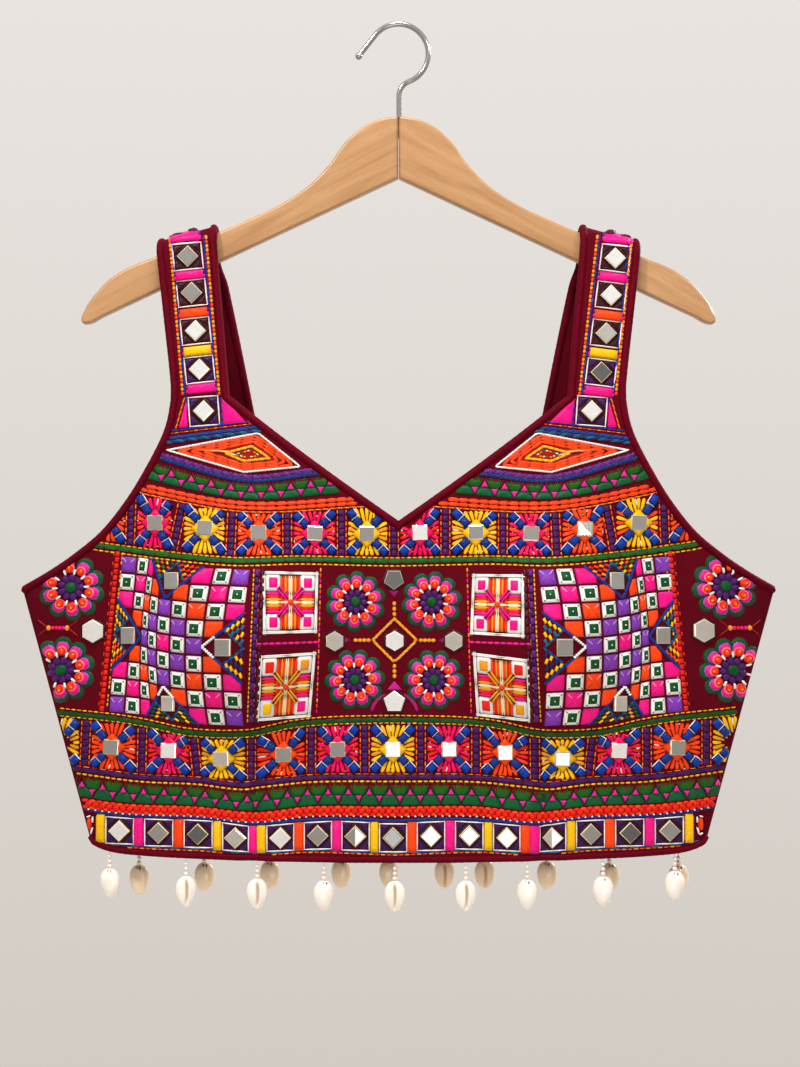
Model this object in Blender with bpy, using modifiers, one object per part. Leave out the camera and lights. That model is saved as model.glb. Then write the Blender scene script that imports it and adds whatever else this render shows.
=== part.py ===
"""Choli blouse on a wooden hanger.

Metres, +Z up. The origin is the underside of the hook's crown, where a rail or peg carries it.
+X is to the right of someone who faces the front, as left and right are here, and -Y is the
front. The blouse hangs as a flattened tube: its side seams lie in the hanger's plane, y = 0.
"""

import math

import bmesh
import bpy
from mathutils import Vector

# ---- cloth and trim
CLOTH = 0.0020              # wall of embroidered cloth
SEAM_GAP = 0.0003           # between pieces that touch
SAME_PLACE = 0.00001        # corners closer than this are one
CUP_SEAM_GAP = 0.0005       # on the princess seams, where the walls' inner edges lean together
BINDING_RADIUS = 0.0026     # rounded binding of neck and armholes
HEM_RADIUS = 0.0022
EDGE_AWAY = BINDING_RADIUS + SEAM_GAP
HEM_AWAY = HEM_RADIUS + SEAM_GAP

# ---- grids of the cut pieces
FRONT_COLUMNS = 20
SIDE_COLUMNS = 12
BACK_COLUMNS = 14
STRAP_COLUMNS = 5
SEAM_ROWS = 8               # of a side's or a back's grid along the side seam
EDGE_ROWS = 10              # and along the armhole
SIDE_ROWS = SEAM_ROWS + EDGE_ROWS
SEAM_SHARE = SEAM_ROWS / SIDE_ROWS
FRONT_ROWS = SIDE_ROWS      # equal rows keep the princess seams parallel
ARMHOLE_EASE = 1.5          # rows lie closer together at the underarm, where the edge runs flat
STRAP_FRONT_ROWS = 10
STRAP_FOLD_ROWS = 6
STRAP_BACK_ROWS = 9
STRAP_ROWS = STRAP_FRONT_ROWS + STRAP_FOLD_ROWS + STRAP_BACK_ROWS
FRONT_SHARE = STRAP_FRONT_ROWS / STRAP_ROWS
FOLD_SHARE = STRAP_FOLD_ROWS / STRAP_ROWS
MEETING_STEPS = 12          # rounds that find where the princess seam meets the neck
PLACKET_COLUMNS = 2
PLACKET_ROWS = 12

# ---- body of the blouse: heights are below the hook's crown
HEM_Z = -0.5277             # cloth edge, above the hem binding
UNDERARM_Z = -0.3665
HEM_HALF = 0.1965           # half widths between the side seams
UNDERARM_HALF = 0.2400
HEM_CORNER_LIFT = 0.0060    # the hem's ends turn up at the side seams
HEM_CORNER_POWER = 22
FRONT_DEPTH = 0.0400        # how far the front stands off the side seams' plane
BACK_DEPTH = 0.0300
SEAM_DEPTH = 0.0011         # a wall's middle at the side seams
TUBE_POWER = 0.8
CUP_X = 0.0980              # point of the bust
CUP_Z = -0.3920
CUP_HEIGHT = 0.0200
CUP_OUTER = 0.0660
CUP_INNER = 0.0800
CUP_UPPER = 0.1000
CUP_LOWER = 0.0850

# ---- shoulders
SHOULDER_DEPTH = 0.0095     # the strap's fold over the hanger, from y = 0 to the wall's middle
FOLD_TOP_Z = -0.1297        # top of the fold at FOLD_X
FOLD_X = 0.1170
FOLD_SLOPE = 0.27
FULL_DEPTH_Z = -0.4000      # from here down the tube has its whole depth

# ---- neck
NECK_V_Z = -0.3260
NECK_SLOPE = 0.762
NECK_SAG = 0.0030
NECK_SAG_TURN = 0.75        # the sag's wave reaches this share of its half turn at the strap
BACK_NECK_Z = -0.3420

# ---- the strap ends on the body along a slanted line
STRAP_BASE_X = 0.1122
STRAP_BASE_Z = -0.2405
STRAP_BASE_SLOPE = 0.110
BACK_BASE_Z = -0.2620

# ---- edges of the cloth as short tables: height, then distance from the centre line
FRONT_ARMHOLE = (
    # z, x
    (-0.3665, 0.2400),
    (-0.3567, 0.2220),
    (-0.3461, 0.2053),
    (-0.3302, 0.1852),
    (-0.3092, 0.1679),
    (-0.2885, 0.1551),
    (-0.2686, 0.1449),
    (-0.2568, 0.1410),
    (-0.2434, 0.1388),
)
STRAP_OUTER = (
    (-0.2434, 0.1388),
    (-0.2318, 0.1390),
    (-0.1850, 0.1447),
    (-0.1480, 0.1494),
)
STRAP_INNER = (
    (-0.2405, 0.1122),
    (-0.1405, 0.1218),
)
BACK_ARMHOLE = (
    (-0.3665, 0.2400),
    (-0.3590, 0.2120),
    (-0.3450, 0.1800),
    (-0.3230, 0.1540),
    (-0.2950, 0.1340),
    (-0.2620, 0.1235),
)
BACK_STRAP_OUTER = (
    (-0.2620, 0.1235),
    (-0.2470, 0.1262),
    (-0.1480, 0.1494),
)
BACK_STRAP_INNER = (
    (-0.2620, 0.0976),
    (-0.1671, 0.1163),
    (-0.1540, 0.1208),
    (-0.1405, 0.1218),
)
PRINCESS_SEAM = (
    (-0.5277, 0.0890),
    (-0.4600, 0.0905),
    (-0.3920, 0.0980),
    (-0.3200, 0.1075),
    (-0.2419, 0.1247),      # STRAP_BASE_X / 0.9, so that a column of the grid meets the strap's corner
)
PLACKET_HALF = 0.0110
PLACKET_WALL = 0.0015

# ---- drops of beads and a cowrie
THREAD_RADIUS = 0.0004
DROP_GAP = 0.0005           # between the hem binding and the top of a drop's thread
BEAD_RADII = (0.0013, 0.0015, 0.0017)
BEAD_PITCH = 0.0029
BEAD_SIDES = 6
BEAD_SHOULDER = 0.85        # a bead's width above and below its middle, as a share of its radius
BEAD_UPPER = 0.45           # and where those lie below its top, as shares of its radius
BEAD_LOWER = 1.55
THREAD_IN_SHELL = 0.25      # how far the thread runs into the shell, as a share of its length
DROP_TOP_THREAD = 0.0016
COWRIE_LENGTH = 0.0195
COWRIE_WIDTH = 0.0132
COWRIE_DEPTH = 0.0086
COWRIE_FLAT = 0.72          # how deep the side with the mouth is, against the other
COWRIE_TAPER = 0.16
EGG_CENTROID = 0.375        # how deep the middle of half an egg's volume lies, as a share of its depth
FRONT_DROPS = (
    # x, way that the shell's mouth faces: -1 to the front, 1 to the back
    (-0.1850, 1),
    (-0.1340, -1),
    (-0.0885, -1),
    (-0.0465, 1),
    (-0.0022, -1),
    (0.0420, -1),
    (0.0805, 1),
    (0.1290, 1),
    (0.1765, 1),
)
BACK_DROPS = (
    (-0.1690, 1),
    (-0.1275, 1),
    (-0.0850, 1),
    (-0.0380, 1),
    (-0.0063, 1),
    (0.0305, -1),
    (0.0570, -1),
    (0.0980, 1),
    (0.1385, 1),
    (0.1820, 1),
)

# ---- hanger
WIRE_RADIUS = 0.00175
HOOK_RADIUS = 0.0192        # of the wire's middle
HOOK_TAIL_TURN = math.radians(52)
HOOK_TAIL = 0.0170
NECK_BEND = 0.0100
STEM_X = 0.0003
STEM_END_Z = -0.0720
HOOK_TAIL_STEPS = 3
HOOK_STEPS = 22
NECK_BEND_STEPS = 5
BORE_DEPTH = 0.0600
TIP_RADIUS = 0.0023
WOOD_FLAT = 0.0026          # half thickness between the rounded edges
WOOD_ROUND = 0.0020
WOOD_TOP = (
    # x, z of the arm's upper edge
    (0.0000, -0.0583),
    (0.0161, -0.0616),
    (0.0316, -0.0723),
    (0.0471, -0.0923),
    (0.0636, -0.1074),
    (0.1023, -0.1274),
    (0.1566, -0.1489),
    (0.1818, -0.1603),
    (0.1950, -0.1726),
)
WOOD_TIP = ((0.2018, -0.1826), (0.2042, -0.1893), (0.2035, -0.1916), (0.2004, -0.1921), (0.1900, -0.1872))
WOOD_FOOT_Z = -0.0983       # lower edge at the centre

SIDES = (("left", -1), ("right", 1))


# ---------------------------------------------------------------- small helpers

def clear_scene():
    for thing in list(bpy.data.objects):
        bpy.data.objects.remove(thing, do_unlink=True)


def collection(name):
    group = bpy.data.collections.new(name)
    bpy.context.scene.collection.children.link(group)
    return group


def principled(name, colour, roughness, metallic=0.0):
    material = bpy.data.materials.new(name)
    material.use_nodes = True
    shader = material.node_tree.nodes["Principled BSDF"]
    shader.inputs["Base Color"].default_value = (*colour, 1)
    shader.inputs["Roughness"].default_value = roughness
    shader.inputs["Metallic"].default_value = metallic
    return material


def keep(thing, name, material, group):
    """Names an object, gives it its material and files it in its collection."""
    thing.name = name
    thing.data.name = name
    thing.data.materials.clear()
    thing.data.materials.append(material)
    for other in list(thing.users_collection):
        other.objects.unlink(thing)
    group.objects.link(thing)
    return thing


def read(table, z):
    """Distance at a height in a table, on a smooth curve through its rows."""
    rows = sorted(table)
    z = min(max(z, rows[0][0]), rows[-1][0])
    i = max(k for k in range(len(rows) - 1) if rows[k][0] <= z)
    before, here = rows[max(i - 1, 0)], rows[i]
    after, last = rows[i + 1], rows[min(i + 2, len(rows) - 1)]
    span = after[0] - here[0]
    start = (after[1] - before[1]) / (after[0] - before[0]) * span
    end = (last[1] - here[1]) / (last[0] - here[0]) * span
    t = (z - here[0]) / span
    return ((2 * t ** 3 - 3 * t ** 2 + 1) * here[1] + (t ** 3 - 2 * t ** 2 + t) * start
            + (3 * t ** 2 - 2 * t ** 3) * after[1] + (t ** 3 - t ** 2) * end)


def mix(a, b, t):
    return a + (b - a) * t


# ---------------------------------------------------------------- the blouse's surfaces

def half_width(z):
    return mix(UNDERARM_HALF, HEM_HALF, max(0.0, (UNDERARM_Z - z) / (UNDERARM_Z - HEM_Z)))


def fold_centre(x):
    """Height of the middle of the strap's fold over the hanger."""
    return FOLD_TOP_Z - (abs(x) - FOLD_X) * FOLD_SLOPE - SHOULDER_DEPTH


def tube(x, z, depth):
    across = min(abs(x) / half_width(z), 1.0)
    return SEAM_DEPTH + depth * (1 - across ** 2) ** TUBE_POWER


def cup(x, z):
    """Roundness of the bust on top of the tube."""
    away = abs(x) - CUP_X
    up = z - CUP_Z
    reach = math.hypot(away / (CUP_OUTER if away > 0 else CUP_INNER),
                       up / (CUP_UPPER if up > 0 else CUP_LOWER))
    return CUP_HEIGHT * math.cos(min(reach, 1.0) * math.pi / 2) ** 2


def settle(x, z, full):
    """Draws the walls in to the hanger towards the shoulders."""
    down = (fold_centre(FOLD_X) - z) / (fold_centre(FOLD_X) - FULL_DEPTH_Z)
    return mix(SHOULDER_DEPTH, full, math.sin(min(max(down, 0.0), 1.0) * math.pi / 2))


def front_depth(x, z):
    return settle(x, z, tube(x, z, FRONT_DEPTH) + cup(x, z))


def back_depth(x, z):
    return settle(x, z, tube(x, z, BACK_DEPTH))


def front(x, z, least=0.0):
    return Vector((x, -max(front_depth(x, z), least), z))


def back(x, z, least=0.0):
    return Vector((x, max(back_depth(x, z), least), z))


def over(x, turn):
    """A point of the strap's fold: turn runs from 0 in front to 1 behind."""
    centre = fold_centre(x)
    reach = front_depth(x, centre) if turn < 0.5 else back_depth(x, centre)
    return Vector((x, -reach * math.cos(math.pi * turn),
                   centre + SHOULDER_DEPTH * math.sin(math.pi * turn)))


def hem_z(x):
    return HEM_Z + HEM_CORNER_LIFT * min(abs(x) / HEM_HALF, 1.0) ** HEM_CORNER_POWER


def neck_z(x):
    across = min(abs(x) / STRAP_BASE_X, 1.0)
    return NECK_V_Z + NECK_SLOPE * abs(x) - NECK_SAG * math.sin(across * math.pi * NECK_SAG_TURN)


def base_z(x):
    return STRAP_BASE_Z - (abs(x) - STRAP_BASE_X) * STRAP_BASE_SLOPE


def back_neck(turn):
    """Back neckline as a quarter of an ellipse: turn 0 is the centre, 1 the strap."""
    return (BACK_STRAP_INNER[0][1] * math.sin(turn * math.pi / 2),
            BACK_BASE_Z - (BACK_BASE_Z - BACK_NECK_Z) * math.cos(turn * math.pi / 2))


# ---------------------------------------------------------------- cut pieces

def cut_piece(name, columns, rows, place, material, group, wall=CLOTH):
    """A piece of cloth: a grid laid on its surface by place(across, along), each 0 to 1."""
    bpy.ops.mesh.primitive_grid_add(x_subdivisions=columns, y_subdivisions=rows, size=2)
    sheet = keep(bpy.context.object, name, material, group)
    for vertex in sheet.data.vertices:
        vertex.co = place((vertex.co.x + 1) / 2, (vertex.co.y + 1) / 2)
    wall_maker = sheet.modifiers.new("wall", "SOLIDIFY")
    wall_maker.thickness = wall
    wall_maker.offset = 0
    sheet.data.shade_smooth()
    sheet.data.set_sharp_from_angle(angle=math.radians(50))
    return sheet


def front_centre_point(across, along):
    side = 2 * across - 1
    reach = read(PRINCESS_SEAM, HEM_Z) - CUP_SEAM_GAP / 2
    top = NECK_V_Z
    for _ in range(MEETING_STEPS):
        x = side * (read(PRINCESS_SEAM, top) - CUP_SEAM_GAP / 2)
        top = min(neck_z(x), base_z(x) - SEAM_GAP / 2)
    z = mix(hem_z(side * reach), top, along)
    return front(side * (read(PRINCESS_SEAM, z) - CUP_SEAM_GAP / 2), z)


def side_row(along, top_z):
    """Height along the side seam and then the armhole."""
    if along <= SEAM_SHARE:
        return mix(hem_z(HEM_HALF), UNDERARM_Z, along / SEAM_SHARE)
    return mix(UNDERARM_Z, top_z, ((along - SEAM_SHARE) / (1 - SEAM_SHARE)) ** ARMHOLE_EASE)


def front_side_point(sign):
    def place(across, along):
        outer_top = base_z(FRONT_ARMHOLE[-1][1]) - SEAM_GAP / 2
        inner_top = base_z(PRINCESS_SEAM[-1][1]) - SEAM_GAP / 2
        outer_z = side_row(along, outer_top)
        inner_z = mix(hem_z(PRINCESS_SEAM[0][1]), inner_top, along)
        if along <= SEAM_SHARE:
            outer_x = half_width(outer_z)
        else:
            outer_x = read(FRONT_ARMHOLE, outer_z)
        inner_x = read(PRINCESS_SEAM, inner_z) + CUP_SEAM_GAP / 2
        spread = math.sin(across * math.pi / 2)
        x = mix(inner_x, outer_x, spread)
        z = mix(inner_z, outer_z, spread)
        if along == 0:
            z = hem_z(x)
        return front(sign * x, z)
    return place


def back_point(sign):
    def place(across, along):
        outer_z = side_row(along, BACK_BASE_Z - SEAM_GAP / 2)
        if along <= SEAM_SHARE:
            outer_x = half_width(outer_z)
            inner_x = SEAM_GAP / 2
            inner_z = mix(HEM_Z, BACK_NECK_Z, along / SEAM_SHARE)
        else:
            outer_x = read(BACK_ARMHOLE, outer_z)
            inner_x, inner_z = back_neck((along - SEAM_SHARE) / (1 - SEAM_SHARE))
            inner_x = max(inner_x, SEAM_GAP / 2)
            inner_z = min(inner_z, BACK_BASE_Z - SEAM_GAP / 2)
        spread = math.sin(across * math.pi / 2)
        x = mix(inner_x, outer_x, spread)
        z = mix(inner_z, outer_z, spread)
        if along == 0:
            z = hem_z(x)
        return back(sign * x, z)
    return place


def strap_point(sign):
    def place(across, along):
        if along <= FRONT_SHARE:
            up = along / FRONT_SHARE
            outer_z = mix(base_z(STRAP_OUTER[0][1]) + SEAM_GAP / 2, fold_centre(STRAP_OUTER[-1][1]), up)
            inner_z = mix(STRAP_BASE_Z + SEAM_GAP / 2, fold_centre(STRAP_INNER[-1][1]), up)
            x = mix(read(STRAP_OUTER, outer_z), read(STRAP_INNER, inner_z), across)
            return front(sign * x, mix(outer_z, inner_z, across))
        if along < FRONT_SHARE + FOLD_SHARE:
            x = mix(STRAP_OUTER[-1][1], STRAP_INNER[-1][1], across)
            return over(sign * x, (along - FRONT_SHARE) / FOLD_SHARE)
        down = (along - FRONT_SHARE - FOLD_SHARE) / (1 - FRONT_SHARE - FOLD_SHARE)
        outer_z = mix(fold_centre(STRAP_OUTER[-1][1]), BACK_BASE_Z + SEAM_GAP / 2, down)
        inner_z = mix(fold_centre(STRAP_INNER[-1][1]), BACK_BASE_Z + SEAM_GAP / 2, down)
        x = mix(read(BACK_STRAP_OUTER, outer_z), read(BACK_STRAP_INNER, inner_z), across)
        return back(sign * x, mix(outer_z, inner_z, across))
    return place


def placket_point(across, along):
    """A strip on the back's centre closing, from the back's own surface moved out."""
    x = mix(-PLACKET_HALF, PLACKET_HALF, across)
    z = mix(HEM_Z, BACK_NECK_Z, along)
    return back(x, z) + Vector((0, (CLOTH + PLACKET_WALL) / 2 + SEAM_GAP, 0))


# ---------------------------------------------------------------- bindings

def steps(start, end, count):
    return [mix(start, end, i / count) for i in range(count + 1)]


def edge(place, across, along, count, inward):
    """Points of a piece's edge, each with its neighbour inward: across and along give ranges."""
    pairs = []
    for a, b in zip(steps(*across, count), steps(*along, count)):
        pairs.append((place(a, b), place(a + inward[0], b + inward[1])))
    return pairs


def mirrored(pairs):
    flip = Vector((-1, 1, 1))
    return [(point * flip, inner * flip) for point, inner in reversed(pairs)]


def beyond(pairs, distance, least=0.0, closed=False):
    """A line beside an edge, further out along the cloth.

    Below the straps it stays at least so far from y = 0, clear of the other wall's binding.
    """
    line = []
    count = len(pairs)
    for i, (point, inner) in enumerate(pairs):
        behind = pairs[(i - 1) % count if closed else max(i - 1, 0)][0]
        ahead = pairs[(i + 1) % count if closed else min(i + 1, count - 1)][0]
        one = (ahead - point).normalized()
        two = (point - behind).normalized()
        run = (one + two).normalized()
        out = point - inner
        out = (out - run * out.dot(run)).normalized()
        half_turn = max(run.dot(one if one.length else two), 0.5)
        lean = abs(out.y)
        level = Vector((out.x, 0, out.z)).normalized()
        moved = point + level * ((distance + lean * CLOTH) / half_turn)
        moved.y += out.y * distance / 2
        if moved.z < BACK_BASE_Z:
            moved.y = math.copysign(max(abs(moved.y), least), point.y)
        line.append(moved)
    return line


def bound_edge(name, points, radius, material, group, closed=False):
    """A rounded binding: a tube along an edge."""
    curve = bpy.data.curves.new(name, "CURVE")
    curve.dimensions = "3D"
    curve.bevel_depth = radius
    curve.bevel_resolution = 2
    curve.use_fill_caps = not closed
    spline = curve.splines.new("POLY")
    spline.points.add(len(points) - 1)
    for point, place in zip(spline.points, points):
        point.co = (*place, 1)
    spline.use_cyclic_u = closed
    tube_object = bpy.data.objects.new(name, curve)
    group.objects.link(tube_object)
    curve.materials.append(material)
    return tube_object


def armhole_edge():
    """From the right underarm up the front, over the shoulder and down the back."""
    pairs = edge(front_side_point(1), (1, 1), (SEAM_SHARE, 1), EDGE_ROWS, (-1 / SIDE_COLUMNS, 0))[:-1]
    pairs += edge(strap_point(1), (0, 0), (0, 1), STRAP_ROWS, (1 / STRAP_COLUMNS, 0))
    pairs += edge(back_point(1), (1, 1), (1, SEAM_SHARE), EDGE_ROWS, (-1 / BACK_COLUMNS, 0))[1:]
    return pairs


def neck_edge():
    """The whole neck: up the right of the V, over the shoulder, across the back and round again."""
    strap_column = round(FRONT_COLUMNS * (1 + STRAP_BASE_X / PRINCESS_SEAM[-1][1]) / 2)
    columns = strap_column - FRONT_COLUMNS // 2
    across = (0.5, strap_column / FRONT_COLUMNS)
    half = edge(front_centre_point, across, (1, 1), columns, (0, -1 / FRONT_ROWS))
    half += edge(strap_point(1), (1, 1), (0, 1), STRAP_ROWS, (-1 / STRAP_COLUMNS, 0))[1:]
    half += edge(back_point(1), (0, 0), (1, SEAM_SHARE), EDGE_ROWS, (1 / BACK_COLUMNS, 0))[1:-1]
    centre = back_point(1)(0, SEAM_SHARE)
    centre.x = 0
    return half + [(centre, centre - Vector((0, 0, CLOTH)))] + mirrored(half[1:])


def hem_edge(pieces):
    half = []
    for place, start, columns, rows in pieces:
        half += edge(place, (start, 1), (0, 0), columns, (0, 1 / rows))[1 if half else 0:]
    return mirrored(half[1:]) + half


def make_bindings(material, group):
    armhole = beyond(armhole_edge(), EDGE_AWAY, BINDING_RADIUS + SEAM_GAP / 2)
    for word, sign in SIDES:
        points = [Vector((sign * p.x, p.y, p.z)) for p in armhole]
        bound_edge(f"armhole_binding_{word}", points, BINDING_RADIUS, material, group)
    neck = beyond(neck_edge(), EDGE_AWAY, closed=True)
    bound_edge("neck_binding", neck, BINDING_RADIUS, material, group, closed=True)
    front_hem = hem_edge(((front_centre_point, 0.5, FRONT_COLUMNS // 2, FRONT_ROWS),
                          (front_side_point(1), 0, SIDE_COLUMNS, SIDE_ROWS)))
    back_hem = hem_edge(((back_point(1), 0, BACK_COLUMNS, SIDE_ROWS),))
    for word, pairs in (("front", front_hem), ("back", back_hem)):
        points = beyond(pairs, HEM_AWAY, HEM_RADIUS + SEAM_GAP / 2)
        bound_edge(f"hem_binding_{word}", points, HEM_RADIUS, material, group)


# ---------------------------------------------------------------- drops

def beads(name, top, material, group):
    """Three beads on their thread as one turned profile, hanging down from top."""
    rows = [(THREAD_RADIUS, 0.0), (THREAD_RADIUS, -DROP_TOP_THREAD)]
    z = -DROP_TOP_THREAD
    for radius in BEAD_RADII:
        shoulder = radius * BEAD_SHOULDER
        rows.append((shoulder, z - radius * BEAD_UPPER))
        rows.append((radius, z - radius))
        rows.append((shoulder, z - radius * BEAD_LOWER))
        z -= BEAD_PITCH
        rows.append((THREAD_RADIUS, z))
    rows.append((THREAD_RADIUS, z - COWRIE_LENGTH * THREAD_IN_SHELL))
    profile = bpy.data.meshes.new(name)
    corners = [(0, 0, rows[0][1])] + [(x, 0, z) for x, z in rows] + [(0, 0, rows[-1][1])]
    profile.from_pydata(corners, [(i, i + 1) for i in range(len(corners) - 1)], [])
    string = keep(bpy.data.objects.new(name, profile), name, material, group)
    string.location = top
    screw = string.modifiers.new("turn", "SCREW")
    screw.axis = "Z"
    screw.steps = BEAD_SIDES
    screw.render_steps = BEAD_SIDES
    screw.use_merge_vertices = True
    screw.merge_threshold = SAME_PLACE
    return string


def cowrie(name, top, mouth, material, cutters):
    """A shell's plain form: an egg, narrower below, with a flatter side where its mouth is.

    It is set off a little towards its mouth, so that its weight hangs straight below the thread.
    """
    bpy.ops.mesh.primitive_uv_sphere_add(segments=10, ring_count=7, radius=1)
    shell = keep(bpy.context.object, name, material, cutters)
    half = COWRIE_DEPTH / 2
    for vertex in shell.data.vertices:
        x, y, up = vertex.co
        wide = 1 + COWRIE_TAPER * up
        flat = COWRIE_FLAT if y * mouth > 0 else 1.0
        vertex.co = (x * wide * COWRIE_WIDTH / 2, y * wide * flat * half, up * COWRIE_LENGTH / 2)
    balance = EGG_CENTROID * (1 - COWRIE_FLAT) * half
    drop = DROP_TOP_THREAD + BEAD_PITCH * len(BEAD_RADII) + COWRIE_LENGTH / 2
    shell.location = top + Vector((0, mouth * balance, -drop))
    shell.hide_render = True
    shell.display_type = "WIRE"
    return shell


def drop_top(surface, x):
    """Where a drop's thread leaves the hem binding, and its hinge."""
    hem = surface(x, hem_z(x) - HEM_AWAY, HEM_RADIUS + SEAM_GAP / 2)
    return hem - Vector((0, 0, HEM_RADIUS + DROP_GAP))


def make_drops(material, group, cutters):
    """One solid for each drop: thread, beads and shell, hanging straight down."""
    for word, surface, drops in (("front", front, FRONT_DROPS), ("back", back, BACK_DROPS)):
        for number, (x, mouth) in enumerate(drops, 1):
            name = f"{word}_drop_{number}"
            top = drop_top(surface, x)
            string = beads(name, top, material, group)
            join = string.modifiers.new("shell", "BOOLEAN")
            join.operation = "UNION"
            join.solver = "EXACT"
            join.object = cowrie(f"{name}_shell", top, mouth, material, cutters)


# ---------------------------------------------------------------- hanger

def hook_points():
    """The hook's wire, from its tip over the crown and down the stem."""
    middle = Vector((0, 0, WIRE_RADIUS - HOOK_RADIUS))
    drop = math.sqrt((HOOK_RADIUS + NECK_BEND) ** 2 - (STEM_X + NECK_BEND) ** 2)
    bend = middle + Vector((STEM_X + NECK_BEND, 0, -drop))
    meet = math.atan2(-drop, STEM_X + NECK_BEND)
    start = math.pi / 2 + HOOK_TAIL_TURN
    arc_start = middle + HOOK_RADIUS * Vector((math.cos(start), 0, math.sin(start)))
    along = Vector((-math.sin(start), 0, math.cos(start)))
    points = [arc_start + along * length for length in steps(HOOK_TAIL, 0, HOOK_TAIL_STEPS)[:-1]]
    for turn in steps(start, meet, HOOK_STEPS):
        points.append(middle + HOOK_RADIUS * Vector((math.cos(turn), 0, math.sin(turn))))
    for turn in steps(meet + math.pi, math.pi, NECK_BEND_STEPS)[1:]:
        points.append(bend + NECK_BEND * Vector((math.cos(turn), 0, math.sin(turn))))
    points.append(Vector((STEM_X, 0, STEM_END_Z)))
    return points


def mesh_of(thing, name, material, group):
    """A curve object made a mesh, its caps welded, so that a Boolean can use it."""
    bpy.context.view_layer.update()
    shape = bpy.data.meshes.new_from_object(thing.evaluated_get(bpy.context.evaluated_depsgraph_get()))
    solid = keep(bpy.data.objects.new(name, shape), name, material, group)
    solid.matrix_world = thing.matrix_world
    bpy.data.objects.remove(thing, do_unlink=True)
    weld(solid)
    return solid


def weld(solid):
    shape = bmesh.new()
    shape.from_mesh(solid.data)
    bmesh.ops.remove_doubles(shape, verts=shape.verts, dist=SAME_PLACE)
    bmesh.ops.recalc_face_normals(shape, faces=shape.faces)
    shape.to_mesh(solid.data)
    shape.free()


def make_hook(material, group, cutters):
    """The wire hook with a ball at its tip."""
    wire = bound_edge("hook_wire", hook_points(), WIRE_RADIUS, material, group)
    wire.data.bevel_resolution = 3
    hook = mesh_of(wire, "hanger_hook", material, group)
    tip = hook_points()[0]
    bpy.ops.mesh.primitive_uv_sphere_add(segments=12, ring_count=8, radius=TIP_RADIUS, location=tip)
    ball = keep(bpy.context.object, "hook_tip_form", material, cutters)
    ball.hide_render = True
    ball.display_type = "WIRE"
    join = hook.modifiers.new("tip", "BOOLEAN")
    join.operation = "UNION"
    join.solver = "EXACT"
    join.object = ball


def make_arm(word, sign, material, group, bore):
    """One wooden arm: its outline with rounded edges, and half of the hook's bore."""
    outline = bpy.data.curves.new(f"arm_outline_{word}", "CURVE")
    outline.dimensions = "2D"
    outline.fill_mode = "BOTH"
    outline.extrude = WOOD_FLAT
    outline.bevel_depth = WOOD_ROUND
    outline.bevel_resolution = 2
    outline.offset = -WOOD_ROUND
    outline.resolution_u = 3
    half_gap = SEAM_GAP / 2
    corners = [(max(x, half_gap), z) for x, z in WOOD_TOP + WOOD_TIP] + [(half_gap, WOOD_FOOT_Z)]
    spline = outline.splines.new("BEZIER")
    spline.bezier_points.add(len(corners) - 1)
    sharp = (0, len(corners) - 1)
    for i, (point, (x, z)) in enumerate(zip(spline.bezier_points, corners)):
        point.co = (sign * x, z, 0)
        kind = "VECTOR" if i in sharp else "AUTO"
        point.handle_left_type = kind
        point.handle_right_type = kind
    spline.use_cyclic_u = True
    arm = bpy.data.objects.new(f"arm_{word}", outline)
    group.objects.link(arm)
    arm.rotation_euler = (math.pi / 2, 0, 0)
    arm = mesh_of(arm, f"hanger_arm_{word}", material, group)
    cut = arm.modifiers.new("bore", "BOOLEAN")
    cut.operation = "DIFFERENCE"
    cut.solver = "EXACT"
    cut.object = bore
    return arm


def make_hanger(wood, steel, group, cutters):
    bpy.ops.mesh.primitive_cylinder_add(
        vertices=16, radius=WIRE_RADIUS + SEAM_GAP, depth=BORE_DEPTH,
        location=(STEM_X, 0, STEM_END_Z - SEAM_GAP + BORE_DEPTH / 2))
    bore = keep(bpy.context.object, "hook_bore_form", wood, cutters)
    bore.hide_render = True
    bore.display_type = "WIRE"
    for word, sign in SIDES:
        make_arm(word, sign, wood, group, bore)
    make_hook(steel, group, cutters)


# ---------------------------------------------------------------- the whole

def main():
    clear_scene()
    blouse = collection("choli_blouse_on_hanger")
    cutters = collection("cutters")
    embroidered = principled("embroidered_cloth", (0.23, 0.07, 0.09), 0.75)
    maroon = principled("maroon_cloth", (0.17, 0.028, 0.036), 0.7)
    binding = principled("maroon_binding", (0.13, 0.018, 0.027), 0.6)
    shell = principled("cowrie_shell", (0.80, 0.74, 0.62), 0.25)
    wood = principled("pale_beech", (0.72, 0.55, 0.38), 0.4)
    steel = principled("chromed_wire", (0.75, 0.75, 0.76), 0.12, 1.0)

    cut_piece("front_centre", FRONT_COLUMNS, FRONT_ROWS, front_centre_point, embroidered, blouse)
    for word, sign in SIDES:
        cut_piece(f"front_side_{word}", SIDE_COLUMNS, SIDE_ROWS, front_side_point(sign), embroidered, blouse)
        cut_piece(f"strap_{word}", STRAP_COLUMNS, STRAP_ROWS, strap_point(sign), embroidered, blouse)
        cut_piece(f"back_{word}", BACK_COLUMNS, SIDE_ROWS, back_point(sign), maroon, blouse)
    cut_piece("back_placket", PLACKET_COLUMNS, PLACKET_ROWS, placket_point, maroon, blouse, PLACKET_WALL)
    make_bindings(binding, blouse)
    make_drops(shell, blouse, cutters)
    make_hanger(wood, steel, blouse, cutters)


main()
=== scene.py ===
"""Looks of the choli blouse on its wooden hanger: cloth, embroidery, mirrors, shells, wood and wire.

Metres, +Z up, in the frame's own place: the origin is the underside of the hook's crown, +X is to the
right of someone who faces the front, as left and right are here, and -Y is the front.

The embroidery is charted like counted work. One step of the chart is CHART_STEP in the plane of the side
seams, x runs to the right and y runs down. on_cloth() carries a point of the chart straight back, as seen
from CHART_EYE, on to the front's outer face.
"""

import math
import random

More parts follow.
